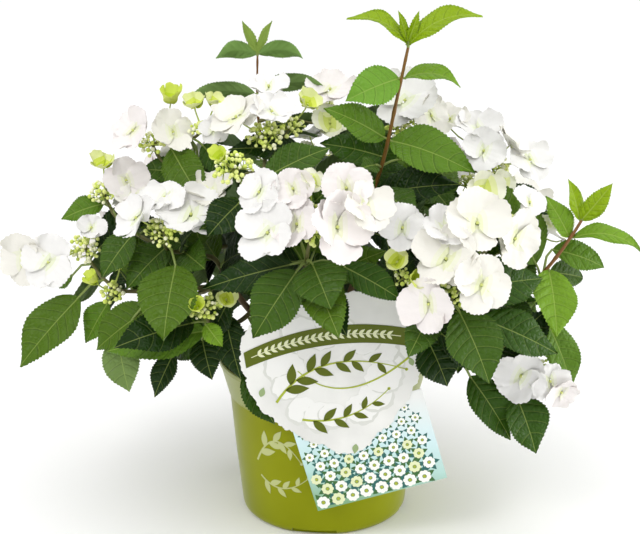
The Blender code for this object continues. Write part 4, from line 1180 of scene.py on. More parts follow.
BLADE_ACROSS = (-1, -0.74, -0.4, 0, 0.4, 0.74, 1)    # from the left edge to the right, with the rib at 0
TOP_NUMBERS = tuple(range(8))            # the points of a row along its upper side, with two for the rib
UNDER_NUMBERS = (0, 8, 9, 10, 11, 12, 13, 7)    # and along its lower side, which shares both edges
ROW_POINTS = 14
RIB_COLUMN = 3
VEIN_PAIRS = ((56, 6), (34, 5), (0, 3))  # for leaves at least this long, this many pairs
VEIN_SPAN = (0.16, 0.93)                 # where along the blade the veins reach its edge
VEIN_WIDTH = 0.55
VEIN_SWEEP = 0.75                        # how far back a vein leaves the rib, at most 1
VEIN_BEND = 1.35                         # above 1 it turns forward as it nears the edge
RIB_HALF_WIDTH = (0.7, 0.25)            # at the foot and the tip
BLADE_THICKNESS = 0.5
TEETH = ((0.12, 1), (0.33, 0), (0.45, 1), (0.66, 0), (0.78, 1))   # between veins: how far on, and if a notch
TOOTH_DEPTH = 1.2
TOOTH_LIMIT = 0.2                        # and at most this share of the half width
FOOT_ROWS = ((0, 0), (0.04, 0.2), (0.1, 0.4))    # before the first vein: how far on, and how swollen
SWELL_POWER = 0.7                        # below 1 the swelling between two veins is fuller
TIP_DRAW = 0.3                           # how much narrower the blade is drawn towards its very tip
FOLD_AT_RIB = 1.2                        # how steep the fold is at the rib, per unit of the plain leaf's
FOLD_EASING = 0.3                        # and how much of that it loses by the edge
QUILTING = 0.028                         # how far the blade swells between veins, per unit of width
QUILT_STRETCH = 1.1                      # above 1 the swelling ends short of the edge
RIB_SINK = 0.5
EDGE_WAVE = 0.035                        # of the blade's edge up and down, per unit of length
WAVE_TURN = 9                            # in radians, of that wave from foot to tip
WAVE_START = 0.25                        # the share of the length over which it sets in
CLASPING_REACH = 8                       # a blade whose foot is this near the stem sits straight on it
BLADE_ENTRY = 0.04                       # how far its stalk runs on under the blade, per unit of length
PETIOLE_TAPER = (1.15, 0.8)
BladeRow = namedtuple("BladeRow", "share is_vein swollen notch", defaults=(False, 0, 0))


def blade_rows(length):
    """Rows down the blade, each from its share of the rib's length out to both edges."""
    pairs = next(count for shortest, count in VEIN_PAIRS if length >= shortest)
    first, last = VEIN_SPAN
    spacing = (last - first) / pairs
    vein = VEIN_WIDTH / length
    rows = [BladeRow(share, False, swollen) for share, swollen in FOOT_ROWS]
    for pair in range(pairs):
        start = first + spacing * pair
        rows += [BladeRow(start, True), BladeRow(start + vein)]
        for along, notch in TEETH:
            swollen = math.sin(math.pi * along) ** SWELL_POWER
            rows.append(BladeRow(start + vein + (spacing - vein) * along, False, swollen, notch))
    return rows + [BladeRow(last), BladeRow(0.97, False, 0.3, 1), BladeRow(1)]


def blade_point(leaf, axes, row, across_blade, phase):
    """A point of the upper side; the row leaves the rib further back than it reaches the edge."""
    ahead, left, upper = axes
    from_rib = abs(across_blade)
    at_rib = row.share * (1 - VEIN_SWEEP * (1 - row.share))
    along = at_rib + (row.share - at_rib) * from_rib ** VEIN_BEND
    half = half_width(leaf, along) * (1 - TIP_DRAW * along ** 8) if 0 < along < 1 else 0
    half = max(half, RIB_HALF_WIDTH[1])
    lift = leaf.length * math.tan(math.radians(leaf.arch)) * along * (1 - along)
    lift += LEAF_FOLD * half * from_rib * (FOLD_AT_RIB - FOLD_EASING * from_rib)
    lift += QUILTING * leaf.width * row.swollen * math.sin(math.pi * min(1, from_rib * QUILT_STRETCH))
    wave = math.sin(phase + WAVE_TURN * along) * from_rib ** 3 * min(1, along / WAVE_START)
    lift += EDGE_WAVE * leaf.length * wave
    if from_rib == 1:
        half -= min(TOOTH_DEPTH, half * TOOTH_LIMIT) * row.notch
    return Vector(leaf.foot) + ahead * (leaf.length * along) - left * (half * across_blade) + upper * lift


def rib_pair(leaf, axes, row, phase):
    """The two edges of the rib, a little sunk."""
    _, left, upper = axes
    middle = blade_point(leaf, axes, row, 0, phase) - upper * RIB_SINK * (1 - row.share)
    half = RIB_HALF_WIDTH[0] + (RIB_HALF_WIDTH[1] - RIB_HALF_WIDTH[0]) * row.share
    return [middle + left * half, middle - left * half]


def add_blade(batch, leaf, tone, rng):
    """A toothed blade with sunk veins, painted shade just past each vein and a paler underside, as one thin
    closed shell.
    """
    axes = leaf_axes(leaf)
    upper = axes[2]
    phase = rng.uniform(0, math.tau)
    rows = blade_rows(leaf.length)
    points = []
    for row in rows:
        top = [blade_point(leaf, axes, row, place, phase) for place in BLADE_ACROSS]
        top[RIB_COLUMN:RIB_COLUMN + 1] = rib_pair(leaf, axes, row, phase)
        under = [point - upper * BLADE_THICKNESS for point in top[1:-1]]
        points.extend(top + under)
    faces, paints = [], []
    for number, row in enumerate(rows[:-1]):
        here, there = number * ROW_POINTS, (number + 1) * ROW_POINTS
        # the row just past a vein is painted darker, as the shade beside the vein
        beside_vein = number > 0 and rows[number - 1].is_vein
        blade = "_vein" if row.is_vein else "_hollow" if beside_vein else ""
        for column in range(len(TOP_NUMBERS) - 1):
            paint = f"leaf_{tone}_rib" if column == RIB_COLUMN else f"leaf_{tone}{blade}"
            a, b = TOP_NUMBERS[column:column + 2]
            faces += [(here + a, here + b, there + b), (here + a, there + b, there + a)]
            a, b = UNDER_NUMBERS[column:column + 2]
            faces += [(here + b, here + a, there + b), (there + b, here + a, there + a)]
            paints += [paint, paint] + [f"leaf_{tone}_under"] * 2
    for end in (0, (len(rows) - 1) * ROW_POINTS):
        faces.append([end + number for number in TOP_NUMBERS + UNDER_NUMBERS[-2:0:-1]])
        paints.append(f"leaf_{tone}_rib")
    batch.add(points, faces, paints)


def nearest_on(route, place):
    """The point of a route that is nearest to a place."""
    return min(smooth_route(route, 6), key=lambda point: (point - place).length)


def add_petiole(batch, placed, stem):
    """The leaf's stalk, curving from its twig into the foot of the blade."""
    leaf = placed.leaf
    route = [point.copy() for point in placed.route]
    foot, ahead = Vector(leaf.foot), unit(leaf.bearing, leaf.pitch)
    clasped = nearest_on(stem.route, foot)
    if (clasped - foot).length < CLASPING_REACH:
        route = [clasped, foot]
    if len(route) == 2:
        start_way = (foot - route[0]).normalized()
        route = bezier(route[0], start_way, foot, ahead, 4)
    route.append(foot + ahead * (leaf.length * BLADE_ENTRY))
    radii = tapered([PETIOLE_RADIUS * share for share in PETIOLE_TAPER], len(route))
    batch.add_tube(route, radii, 6, "petiole")


# ---------------------------------------------------------------- fine florets and buds

SEPAL_ROWS = (0.05, 0.18, 0.32, 0.46, 0.6, 0.74, 0.88, 1.0)     # shares of the sepal's length
SEPAL_COLUMNS = 19
SEPAL_HALF_WIDTH = 0.3          # per unit of floret width
SEPAL_CLAW = 0.25       # of its width at the very foot
SEPAL_SHOULDER = 0.62   # where it is widest, as a share of its length
SEPAL_ROUNDING = 0.55   # how far the round end draws back at its sides
SEPAL_CURVE = 0.94      # how much of a half circle that end is
SEPAL_TWIST = 0.05      # one side lies above the next sepal, per unit of floret width
SEPAL_THICKNESS = 0.35
SEPAL_STEP = 1.4        # between the lower pair of sepals and the upper
SEPAL_HOLLOW = 0.045    # rise of the sides above the crease in the middle, per unit of floret width
RUFFLE = 0.034          # of a sepal's edge up and down, per unit of floret width
RUFFLE_TURN = 5         # in radians, of that ruffle from foot to tip and from the middle to a side
SEPAL_CREASE = 0.005    # of the fine veins that fan out over it, per unit of floret width
VEIN_FAN = 5            # how many of those to each side
SEPAL_NOTCH = 0.042     # between two teeth of the edge, per unit of the sepal's length
NOTCH_SHARES = (0.4, 1.3)
TINTED_ROWS = {"open": (1, 2)}  # rows up to here take the heart's and the throat's tint
YOUNG_TINTED_ROWS = (2, 4)
Sepal = namedtuple("Sepal", "length breadth cup level phase")


def sepal_point(sepal, along, place, notch):
    """A point of a sepal as (outward, sideways, up) from the floret's centre; place runs -1 to 1."""
    length = sepal.length
    opening = math.sin(math.pi / 2 * min(1, along / SEPAL_SHOULDER))
    spread = SEPAL_CLAW + (1 - SEPAL_CLAW) * opening
    round_end = 1 - SEPAL_ROUNDING * (1 - math.sqrt(1 - (SEPAL_CURVE * place) ** 2))
    outward = length / 2 * along * round_end * (1 - notch)
    sideways = length * SEPAL_HALF_WIDTH * sepal.breadth * spread * place * (1 - notch)
    edge = max(abs(place) ** 3, along ** 4)
    lift = sepal.cup * along ** 1.6 + SEPAL_HOLLOW * abs(place) ** 1.3 * along + SEPAL_TWIST * place * along
    lift += RUFFLE * math.sin(RUFFLE_TURN * place + RUFFLE_TURN * along + sepal.phase) * edge
    lift += SEPAL_CREASE * math.cos(VEIN_FAN * math.pi * place) * math.sqrt(along)
    return outward, sideways, lift * length + sepal.level


def add_sepal(batch, floret, axes, bearing, sepal, tone, rng):
    """One broad toothed sepal as a thin closed shell."""
    side, front = axes
    ahead = between(side, front, bearing)
    sidelong = front * math.cos(bearing) - side * math.sin(bearing)
    last = len(SEPAL_ROWS) - 1
    top = []
    for row, along in enumerate(SEPAL_ROWS):
        for column in range(SEPAL_COLUMNS):
            at_edge = row == last or (row > 1 and column in (0, SEPAL_COLUMNS - 1))
            notch = SEPAL_NOTCH * rng.uniform(*NOTCH_SHARES) if at_edge and (row + column) % 2 else 0
            place = 2 * column / (SEPAL_COLUMNS - 1) - 1
            outward, sideways, lift = sepal_point(sepal, along, place, notch)
            top.append(floret.centre + ahead * outward + sidelong * sideways + floret.facing * lift)
    under = [point - floret.facing * SEPAL_THICKNESS for point in top]
    heart, throat = TINTED_ROWS.get(floret.tone, YOUNG_TINTED_ROWS)
    batch.add_solid_shell(top, under, len(SEPAL_ROWS), SEPAL_COLUMNS, [
        f"petal_{tone}_heart" if row < heart else
        f"petal_{tone}_throat" if row < throat else f"petal_{tone}" for row in range(last)])


CUPPING = {"open": 0.08, "greenish": 0.16, "young": 0.34, "cup": 0.7}      # how deeply a floret is cupped
FLORET_LEAN = 0.3       # how far a floret leans from the way that its head gives it
FLORET_SPREAD = 1.08    # how much wider than the plain floret the finer one spreads
OPEN_TONES = ("white", "white", "cream", "blush")
SEPAL_SWERVE = 9        # how far a sepal strays from its even bearing
SEPAL_LENGTHS = (0.92, 1.04)
SEPAL_BREADTHS = (0.9, 1.12)
SEPAL_TILTS = (-0.08, 0.14)
FLORET_STALK_RADII = (0.9, 0.6)
EYE_RADIUS = 0.9
EYE_GROWTH = 0.012      # of that radius, per unit of floret width


def leaned(facing, rng):
    """The direction leaned a little to a random side."""
    side = across(facing, UP)
    leaning = facing + side * rng.uniform(-FLORET_LEAN, FLORET_LEAN)
    return (leaning + facing.cross(side) * rng.uniform(-FLORET_LEAN, FLORET_LEAN)).normalized()


def add_floret(batch, floret, rng):
    """Four overlapping sepals round a small eye, on a slender stalk."""
    floret = floret._replace(facing=leaned(floret.facing, rng))
    axes = flat_axes(floret.facing)
    cup = CUPPING[floret.tone]
    tone = rng.choice(OPEN_TONES) if floret.tone == "open" else floret.tone
    for number in range(4):
        swerve = rng.uniform(-SEPAL_SWERVE, SEPAL_SWERVE)
        bearing = math.radians(floret.first + 90 * number + swerve)
        level = SEPAL_STEP * (number % 2) - SEPAL_STEP / 2
        length = floret.width * FLORET_SPREAD * rng.uniform(*SEPAL_LENGTHS)
        breadth = rng.uniform(*SEPAL_BREADTHS)
        tilt = cup + rng.uniform(*SEPAL_TILTS)
        sepal = Sepal(length, breadth, tilt, level, rng.uniform(0, math.tau))
        add_sepal(batch, floret, axes, bearing, sepal, tone, rng)
    eye = EYE_RADIUS + EYE_GROWTH * floret.width
    batch.add_solid(ball_solid(floret.centre + floret.facing * eye, floret.facing, eye), "floret_eye")
    arrival = (floret.centre - floret.root).normalized()
    route = bezier(floret.root, (arrival + floret.facing * 0.5).normalized(), floret.centre, floret.facing, 5)
    batch.add_tube(route, tapered(FLORET_STALK_RADII, len(route)), 5, "pedicel")


RAY_COUNT = 5
GOLDEN_ANGLE = 137.5    # from each bud to the next round the dome
BUD_SPACE = 5.5         # area of the dome to each bud
BUD_RADII = (1.3, 2.4)
BUD_SCATTER = 3         # of a bud above or below the dome
TURN_SCATTER = 0.3      # in radians, of a ray or a bud round the dome
RAY_ROOT = 0.5          # how deep below the hub the rays part, per unit of the dome's depth
RAY_RISE = 0.2          # and how far above it the middle one ends
RAY_REACH = (0.4, 0.6)  # of the others outward, per unit of the head's span
RAY_HEIGHTS = (-1, 2)
DOME_TOP = 1.05         # of the topmost buds, per unit of the dome's depth
DOME_REACH = 0.95       # of the outermost ones, per unit of the head's span
RAY_RADII = (1.1, 0.7)
BUD_STALK_RADII = (0.55, 0.45)
BUD_STALK_BOW = 0.4     # how far a bud's stalk leaves outward and arrives upward
BUD_TONES = ("bud_green", "bud_pale", "bud_pale", "bud_cream")


def add_buds(batch, buds, rng):
    """A loose dome of round buds on pedicels that branch from a few rays."""
    side, front = flat_axes(buds.facing)
    depth = buds.span * BUD_DEPTH
    base = buds.hub - buds.facing * depth * RAY_ROOT
    joints = [buds.hub + buds.facing * depth * RAY_RISE]
    for ray in range(RAY_COUNT):
        turn = math.tau * ray / RAY_COUNT + rng.uniform(-TURN_SCATTER, TURN_SCATTER)
        outward = between(side, front, turn)
        tip = buds.hub + outward * buds.span * rng.uniform(*RAY_REACH)
        joints.append(tip + buds.facing * rng.uniform(*RAY_HEIGHTS))
    for joint in joints:
        route = bezier(base, buds.facing, joint, (joint - base).normalized(), 3)
        batch.add_tube(route, tapered(RAY_RADII, len(route)), 5, "ray")
    count = round(buds.span ** 2 / BUD_SPACE)
    for number in range(count):
        share = math.sqrt((number + rng.uniform(0.1, 0.9)) / count)
        turn = math.radians(GOLDEN_ANGLE) * number + rng.uniform(-TURN_SCATTER, TURN_SCATTER)
        outward = between(side, front, turn)
        height = depth * (DOME_TOP - share ** 2) + rng.uniform(-BUD_SCATTER, BUD_SCATTER)
        place = buds.hub + outward * buds.span * DOME_REACH * share + buds.facing * height
        joint = min(joints, key=lambda end: (end - place).length)
        way = (place - joint).normalized()
        leaving = (way + outward * BUD_STALK_BOW).normalized()
        arriving = (way + buds.facing * BUD_STALK_BOW).normalized()
        route = bezier(joint, leaving, place, arriving, 2)
        batch.add_tube(route, tapered(BUD_STALK_RADII, len(route)), 4, "pedicel")
        batch.add_solid(ball_solid(place, way, rng.uniform(*BUD_RADII)), rng.choice(BUD_TONES))


# ---------------------------------------------------------------- fine stems and bark

KNOT_SWELL = 0.28
STEM_STEPS = 5          # between two stations of the plain stem
STEM_SIDES = 8
FURROW_DEPTH = 0.1      # these three are in units of the limb's radius
RIDGE_HEIGHT = 0.16
GRIT_HEIGHT = 0.06
RIDGES_ACROSS = 0.45    # how closely the ridges lie across the limb, and how soon they end along it
RIDGES_ALONG = 0.09
GRIT = 0.5


def fine_route(route, radii, steps):
    """A route and its radii with more stations on the same curve."""
    fine_radii = []
    for before, after in zip(radii, radii[1:]):
        fine_radii.extend(before + (after - before) * step / steps for step in range(steps))
    return smooth_route(route, steps), fine_radii + [radii[-1]]


def knotted(route, radii):
    """The radii with a small knot at every leaf pair's spacing along the route."""
    walked, result = 0.0, []
    for index, radius in enumerate(radii):
        if index:
            walked += (route[index] - route[index - 1]).length
        wave = max(0, math.cos(math.tau * walked / NODE_SPACING)) ** 8
        result.append(radius * (1 + KNOT_SWELL * wave))
    return result


def add_stem(batch, twig, paint, slimness):
    """A round stem with knots; slimness is the share of its girth that it keeps at its tip."""
    route, radii = fine_route(*twig, STEM_STEPS)
    slimmed = [radius * (1 - (1 - slimness) * index / len(radii)) for index, radius in enumerate(radii)]
    batch.add_tube(route, knotted(route, slimmed), STEM_SIDES, paint)


def add_bark(batch, route, radii, sides, seed):
    """A limb whose skin is cut by shallow furrows along its length."""
    rings = []
    for point, ring in zip(route, tube_rings(route, radii, sides)):
        rough = []
        for corner in ring:
            outward = corner - point
            ridge = noise.noise(Vector((corner.x * RIDGES_ACROSS, corner.y * RIDGES_ACROSS,
                                        corner.z * RIDGES_ALONG + seed)))
            grit = noise.noise(corner * GRIT + Vector((seed, 0, 0)))
            rough.append(point + outward * (1 - FURROW_DEPTH + RIDGE_HEIGHT * ridge + GRIT_HEIGHT * grit))
        rings.append(rough)
    batch.add_solid(loft(rings), "furrowed_bark")


# ---------------------------------------------------------------- fine pot, compost, stump and canes

POT_FINE_SIDES = 128
COMPOST_SIDES = 72
COMPOST_RINGS = 24
COMPOST_LUMP = 3.0      # how far its top swells and sinks
LUMP_RATE = 0.11        # how closely its lumps lie
LUMP_NOISE = (0.6, 2.2, 4)      # their roughness, the step to finer ones and how many such steps
CHIP_COUNT = 150
CHIP_SIZES = ((2, 6), (1.2, 3), (0.5, 1.3))     # half a chip's length, breadth and height
CHIP_SHARES = (0.6, 1.1)        # how far out of that box each of its corners lies
CHIP_HEIGHTS = (-0.5, 1.5)      # of its middle above the compost
CHIP_TILT = 0.4
CHIP_RING = (24, 7)     # how near a chip lies to the plant's axis and to the pot's wall
STUMP_FINE_SIDES = 36
STUMP_SEED = 3
STUMP_HEIGHTS = (0, 2, 4, 6, 8.5, 11, 13.5, 15.5, STUMP_TOP[1])
CANE_FINE_SIDES = 14
CANE_STEPS = 7          # between two stations of the plain cane


def notched(solid):
    """The solid with the drain notches cut from its bottom edge."""
    body = new_object("uncut_pot", new_mesh("uncut_pot", *solid))
    half = NOTCH_WIDTH / 2
    shape = box((FOOT_RADIUS - NOTCH_DEPTH, -half, -5), (FOOT_RADIUS + 5, half, NOTCH_HEIGHT))
    cutters = []
    for index in range(NOTCH_COUNT):
        cutter = new_object("notch", new_mesh("notch", *shape))
        cutter.rotation_euler.z = math.radians(FIRST_NOTCH_BEARING + 360 / NOTCH_COUNT * index)
        cut = body.modifiers.new("Notch", 'BOOLEAN')
        cut.object = cutter
        cut.operation = 'DIFFERENCE'
        cut.solver = 'EXACT'
        cutters.append(cutter)
    bpy.context.view_layer.update()
    evaluated = body.evaluated_get(bpy.context.evaluated_depsgraph_get())
    result = bpy.data.meshes.new_from_object(evaluated)
    points = [vertex.co / MM for vertex in result.vertices]
    faces = [tuple(polygon.vertices) for polygon in result.polygons]
    for scratch in cutters + [body]:
        bpy.data.objects.remove(scratch)
    return Solid(points, faces)


def fine_pot():
    """The pot with a rolled rim, a stepped collar and a rounded foot."""
    foot, waist, rim = FOOT_RADIUS, COLLAR_RADIUS, RIM_RADIUS
    collar, top = COLLAR_HEIGHT, POT_HEIGHT
    profile = [
        (0, 1.2), (foot - 14, 1.2), (foot - 12, 0), (foot - 6, 0), (foot - 3, 0.8), (foot - 1.2, 2.6),
        (foot - 0.3, 5.5), (foot + 0.1, 9), (foot + (waist - foot) * 0.5, collar * 0.5),
        (waist - 0.5, collar - 3), (waist - 0.2, collar - 1), (waist + 0.9, collar + 0.4),
        (waist + 1.3, collar + 2), (rim - 1.4, top - 6), (rim - 0.2, top - 4.6), (rim, top - 3),
        (rim - 0.1, top - 1.2), (rim - 0.8, top - 0.2), (rim - 1.5, top), (rim - 2.2, top - 0.6),
        (inner_radius(top - 4) + 0.2, top - 4), (inner_radius(collar), collar), (foot - 4, FLOOR + 6),
        (foot - 8, FLOOR), (0, FLOOR),
    ]
    batch = Batch("pot_shell")
    solid = notched(turned(profile, POT_FINE_SIDES))
    paints = []
    for face in solid.faces:
        height = sum(solid.points[number].z for number in face) / len(face)
        paints.append("pot_collar" if height > collar + 1 else "pot_body")
    batch.add(*solid, paints)
    made_piece(batch, ["pot"], 28)


def add_chips(batch, rim):
    """Chips of bark that lie about on the compost."""
    rng = random.Random(SEED)
    for _ in range(CHIP_COUNT):
        reach, turn = rng.uniform(CHIP_RING[0], rim - CHIP_RING[1]), rng.uniform(0, math.tau)
        height = COMPOST_TOP + rng.uniform(*CHIP_HEIGHTS)
        place = Vector((reach * math.cos(turn), reach * math.sin(turn), height))
        size = Vector(rng.uniform(*limits) for limits in CHIP_SIZES)
        chip = box(-size, size)
        spin = Matrix.Rotation(rng.uniform(0, math.tau), 3, 'Z')
        spin = spin @ Matrix.Rotation(rng.uniform(-CHIP_TILT, CHIP_TILT), 3, 'X')
        shares = [Vector(rng.uniform(*CHIP_SHARES) for _ in range(3)) for _ in chip.points]
        points = [place + spin @ (point * share) for point, share in zip(chip.points, shares)]
        batch.add(points, chip.faces, "bark_chip")


def fine_compost():
    """Lumpy compost with chips of bark on it."""
    def level_ring(height, radius):
        return circle(Vector((0, 0, height)), Vector((1, 0, 0)), Vector((0, 1, 0)), radius, COMPOST_SIDES)

    edge = COMPOST_TOP - 2
    rim = inner_radius(edge) - SEAT_GAP
    rings = [[Vector((0, 0, FLOOR + SEAT_GAP))], level_ring(FLOOR + SEAT_GAP, FOOT_RADIUS - 9),
             level_ring(COLLAR_HEIGHT, inner_radius(COLLAR_HEIGHT) - 0.6), level_ring(edge, rim)]
    for step in range(1, COMPOST_RINGS):
        ring = level_ring(COMPOST_TOP - 1, rim * (1 - step / COMPOST_RINGS))
        for point in ring:
            point.z += COMPOST_LUMP * noise.fractal(point * LUMP_RATE, *LUMP_NOISE)
        rings.append(ring)
    rings.append([Vector((0, 0, COMPOST_TOP - 1))])
    batch = Batch("compost_surface")
    batch.add_solid(loft(rings), "lumpy_compost")
    add_chips(batch, rim)
    made_piece(batch, ["compost"], 40)


def fine_stump():
    """The stump, with furrowed bark."""
    route, radii = [], []
    for height in STUMP_HEIGHTS:
        lower, upper = (STUMP_FLARE, STUMP_WAIST) if height <= STUMP_WAIST[1] else (STUMP_WAIST, STUMP_TOP)
        share = (height - lower[1]) / (upper[1] - lower[1])
        route.append(Vector((0, 0, COMPOST_TOP + SEAT_GAP + height)))
        radii.append(lower[0] + (upper[0] - lower[0]) * share)
    batch = Batch("stump_bark")
    add_bark(batch, route, radii, STUMP_FINE_SIDES, STUMP_SEED)
    made_piece(batch, ["stump"], 60)


def fine_canes():
    """The ten canes, with furrowed bark."""
    for number, (name, cane) in enumerate(CANES.items()):
        rings = cane_rings(cane)
        route = [sum(ring, Vector()) / len(ring) for ring in rings]
        radii = [(ring[0] - middle).length for ring, middle in zip(rings, route)]
        batch = Batch(f"{name}_bark")
        add_bark(batch, *fine_route(route, radii, CANE_STEPS), CANE_FINE_SIDES, number * 5)
        made_piece(batch, [name], 60)


# ---------------------------------------------------------------- prints in flat relief

PRINT_LEAF_STEPS = 8
PRINT_LEAF_POWER = 0.85 # below 1 the leaf is widest nearer its foot
PRINT_LEAF_POINT = 0.15 # half its width at both ends
SPRIG_STEM_TIP = 0.35
SPRIG_BEAD = 1.4
SPRIG_LEAF_ANGLE = 42   # from the stem
SPRIG_LEAF_WIDTH = 0.42 # per unit of length
SPRIG_SHRINKING = 0.4   # of its leaves toward the tip


def plate(patch, place, level, thickness):
    """A thin closed plate from a flat patch; place turns (u, v, level) into a point in space."""
    flat, faces = patch
    count = len(flat)
    points = [place(u, v, level) for u, v in flat] + [place(u, v, level - thickness) for u, v in flat]
    edges = {edge for face in faces for edge in zip(face, face[1:] + face[:1])}
    sides = [(b, a, a + count, b + count) for a, b in edges if (b, a) not in edges]
    under = [tuple(number + count for number in reversed(face)) for face in faces]
    return Solid(points, list(faces) + under + sides)


def ribbon_patch(line, half_widths):
    """A strip along a flat line."""
    points = []
    for index, (here, half) in enumerate(zip(line, half_widths)):
        before, after = line[max(index - 1, 0)], line[min(index + 1, len(line) - 1)]
        way = (Vector(after) - Vector(before)).normalized()
        points.append((here[0] - way.y * half, here[1] + way.x * half))
        points.append((here[0] + way.y * half, here[1] - way.x * half))
    return points, grid_faces(len(line), 2)


def disc_patch(centre, radius, sides=20, squash=1.0):
    points = []
    for index in range(sides):
        turn = math.tau * index / sides
        points.append((centre[0] + radius * math.cos(turn), centre[1] + radius * squash * math.sin(turn)))
    return points, [tuple(range(sides))]


def leaf_patch(foot, bearing, length, width):
    """A pointed leaf shape that leaves its foot along a bearing in the flat."""
    way = Vector((math.cos(math.radians(bearing)), math.sin(math.radians(bearing))))
    line, halves = [], []
    for step in range(PRINT_LEAF_STEPS + 1):
        share = step / PRINT_LEAF_STEPS
        line.append((foot[0] + way.x * length * share, foot[1] + way.y * length * share))
        half = width / 2 * math.sin(math.pi * share ** PRINT_LEAF_POWER)
        halves.append(max(PRINT_LEAF_POINT, half))
    return ribbon_patch(line, halves)


def flat_curve(start, bend, end, steps=18):
    """A curve in the flat from start to end, drawn toward bend."""
    line = []
    for step in range(steps + 1):
        t = step / steps
        line.append(tuple(a * (1 - t) ** 2 + b * 2 * t * (1 - t) + c * t * t
                          for a, b, c in zip(start, bend, end)))
    return line


def sprig_patches(start, bend, end, leaf_count, leaf_length, stem):
    """A stem with leaves on alternate sides and a bead at its tip: (patch, whether it is a leaf)."""
    line = flat_curve(start, bend, end)
    yield ribbon_patch(line, tapered((stem, SPRIG_STEM_TIP), len(line))), False
    for index in range(leaf_count):
        number = 2 + index * (len(line) - 4) // leaf_count
        here, after = Vector(line[number]), Vector(line[number + 1])
        heading = math.degrees(math.atan2(after.y - here.y, after.x - here.x))
        side = SPRIG_LEAF_ANGLE if index % 2 else -SPRIG_LEAF_ANGLE
        size = leaf_length * (1 - SPRIG_SHRINKING * index / leaf_count)
        yield leaf_patch(tuple(here), heading + side, size, size * SPRIG_LEAF_WIDTH), True
    yield disc_patch(line[-1], SPRIG_BEAD, 12), False


# ---------------------------------------------------------------- fine hang tag and pot print

CARD_SCALLOP_STEPS = 16
CARD_RUFFLE = 2.2       # of the card's cut edge in and out
CARD_PETALS = 15
CARD_PETAL_RADII = (14, 20)
CARD_PETAL_RING = (52, 48)      # how far out they lie, across and up
CARD_PETAL_DRAW = (0.78, 0.98)  # and how far in from that ring each may be drawn
CARD_PETAL_STRAY = 0.15         # in radians, from its even place round the ring
CARD_PETAL_LEVEL = 0.02         # of the first one above the card
CARD_PETAL_STEP = 0.012         # each one's height above the last
CARD_PETAL_EDGE = 1.4           # how much of the darker petal shows round the pale one on it
PRINT_LIFT = 0.32       # of the inks above the card
PRINT_THICKNESS = 0.1
THIN_PRINT = 0.05
CURVE_STEPS = 24        # of a long curve in the print
BAND_TOP = ((-71, 36), (0, 56), (68, 28))       # ends of the band's edges, with the bend between
BAND_BOTTOM = ((-72, 22), (0, 38), (66, 12))
VINE_HALF_WIDTH = 0.35
VINE_LEAF = (38, 6.2, 2.6)      # its angle from the vine, its length and its width
CARD_SPRIGS = (                                  # start, bend, end, leaves, leaf length, stem
    ((-54, -14), (-10, 32), (60, -8), 11, 20, 1.1),
    ((-36, -34), (4, -50), (42, -22), 7, 17, 1.0),
)
CARD_SWIRL = ((-30, 10), (0, -34), (64, 2))
CARD_EDGE_LEAVES = ((-66, -6, 60, 9), (66, -6, 100, 8), (4, -66, 250, 9), (-52, 56, 20, 8))
DAISY_SPACING = (13, 11)        # along a row, and from row to row
DAISY_REACH = (6.0, 3.0)        # to a petal's tip, in the lowest row and in the highest
DAISY_MARGIN = 7        # from the card's edge to the nearest middles
DAISY_SHIFT = 0.5       # how far each strays from its even place
DAISY_LEAVES = 6
DAISY_LEAF = (1.7, 0.85)        # its length and width, and the next three, per unit of the daisy's reach
DAISY_RING = 0.64       # from its middle to the middle of a petal
DAISY_PETAL = 0.36
DAISY_EYE = 0.26
DAISY_LEVELS = (0.03, 0.09, 0.13, 0.19) # of the lowest leaf, the highest, the first petal and the eye
DAISY_PETALS = 8
DAISY_PETAL_STEP = 0.006        # each one's height above the last
DAISY_TONES = ("print_white", "print_white", "print_cream")
PICTURE_LEAVES = ("print_leaf", "print_teal", "print_teal", "print_leaf")
POT_SPRIGS = (
    ((-66, 66), (-46, 112), (-20, 72), 7, 17, 1.0),
    ((-62, 52), (-38, 34), (-14, 58), 6, 14, 0.9),
)


def pot_place(u, v, level):
    """A point on the pot's front, u round it from the middle and v up it."""
    radius = inner_radius(v) + WALL + level
    bearing = math.radians(-90) + u / (inner_radius(v) + WALL)
    return Vector((radius * math.cos(bearing), radius * math.sin(bearing), v))


def ruffled(outline, depth, seed):
    """The outline with its cut edge worked in and out a little, never further out than it was."""
    result = []
    for x, z in outline:
        wave = noise.noise(Vector((x * 0.35, z * 0.35, seed))) + 0.6 * noise.noise(Vector((x, z, seed)))
        inward = depth * (0.5 + 0.5 * max(-1, min(1, wave * 1.6))) / math.hypot(x, z)
        result.append((x * (1 - inward), z * (1 - inward)))
    return result


def petal_patch(middle, radius, seed):
    """A round petal with a wavy edge."""
    points, faces = disc_patch((0, 0), radius, 28, 0.92)
    wavy = ruffled(points, radius * 0.16, seed)
    return [(middle[0] + x, middle[1] + z) for x, z in wavy], faces


def add_card_petals(prints, place):
    """Pale petals in a ring, each a little above the last and with a darker edge."""
    rng = random.Random(SEED)
    for index in range(CARD_PETALS):
        turn = math.tau * index / CARD_PETALS + rng.uniform(-CARD_PETAL_STRAY, CARD_PETAL_STRAY)
        radius = rng.uniform(*CARD_PETAL_RADII)
        middle = Vector((CARD_PETAL_RING[0] * math.cos(turn), CARD_PETAL_RING[1] * math.sin(turn) + 2))
        middle *= rng.uniform(*CARD_PETAL_DRAW)
        level = CARD_PETAL_LEVEL + CARD_PETAL_STEP * index
        thickness = level + PRINT_THICKNESS
        shade = petal_patch(middle, radius, index)
        prints.add_plate(shade, place, level, thickness, "tag_petal_shade")
        inner = (middle[0] * 0.97, middle[1] * 0.97 + 0.5)
        patch = petal_patch(inner, radius - CARD_PETAL_EDGE, index)
        prints.add_plate(patch, place, level + CARD_PETAL_STEP / 2, thickness, "tag_petal")


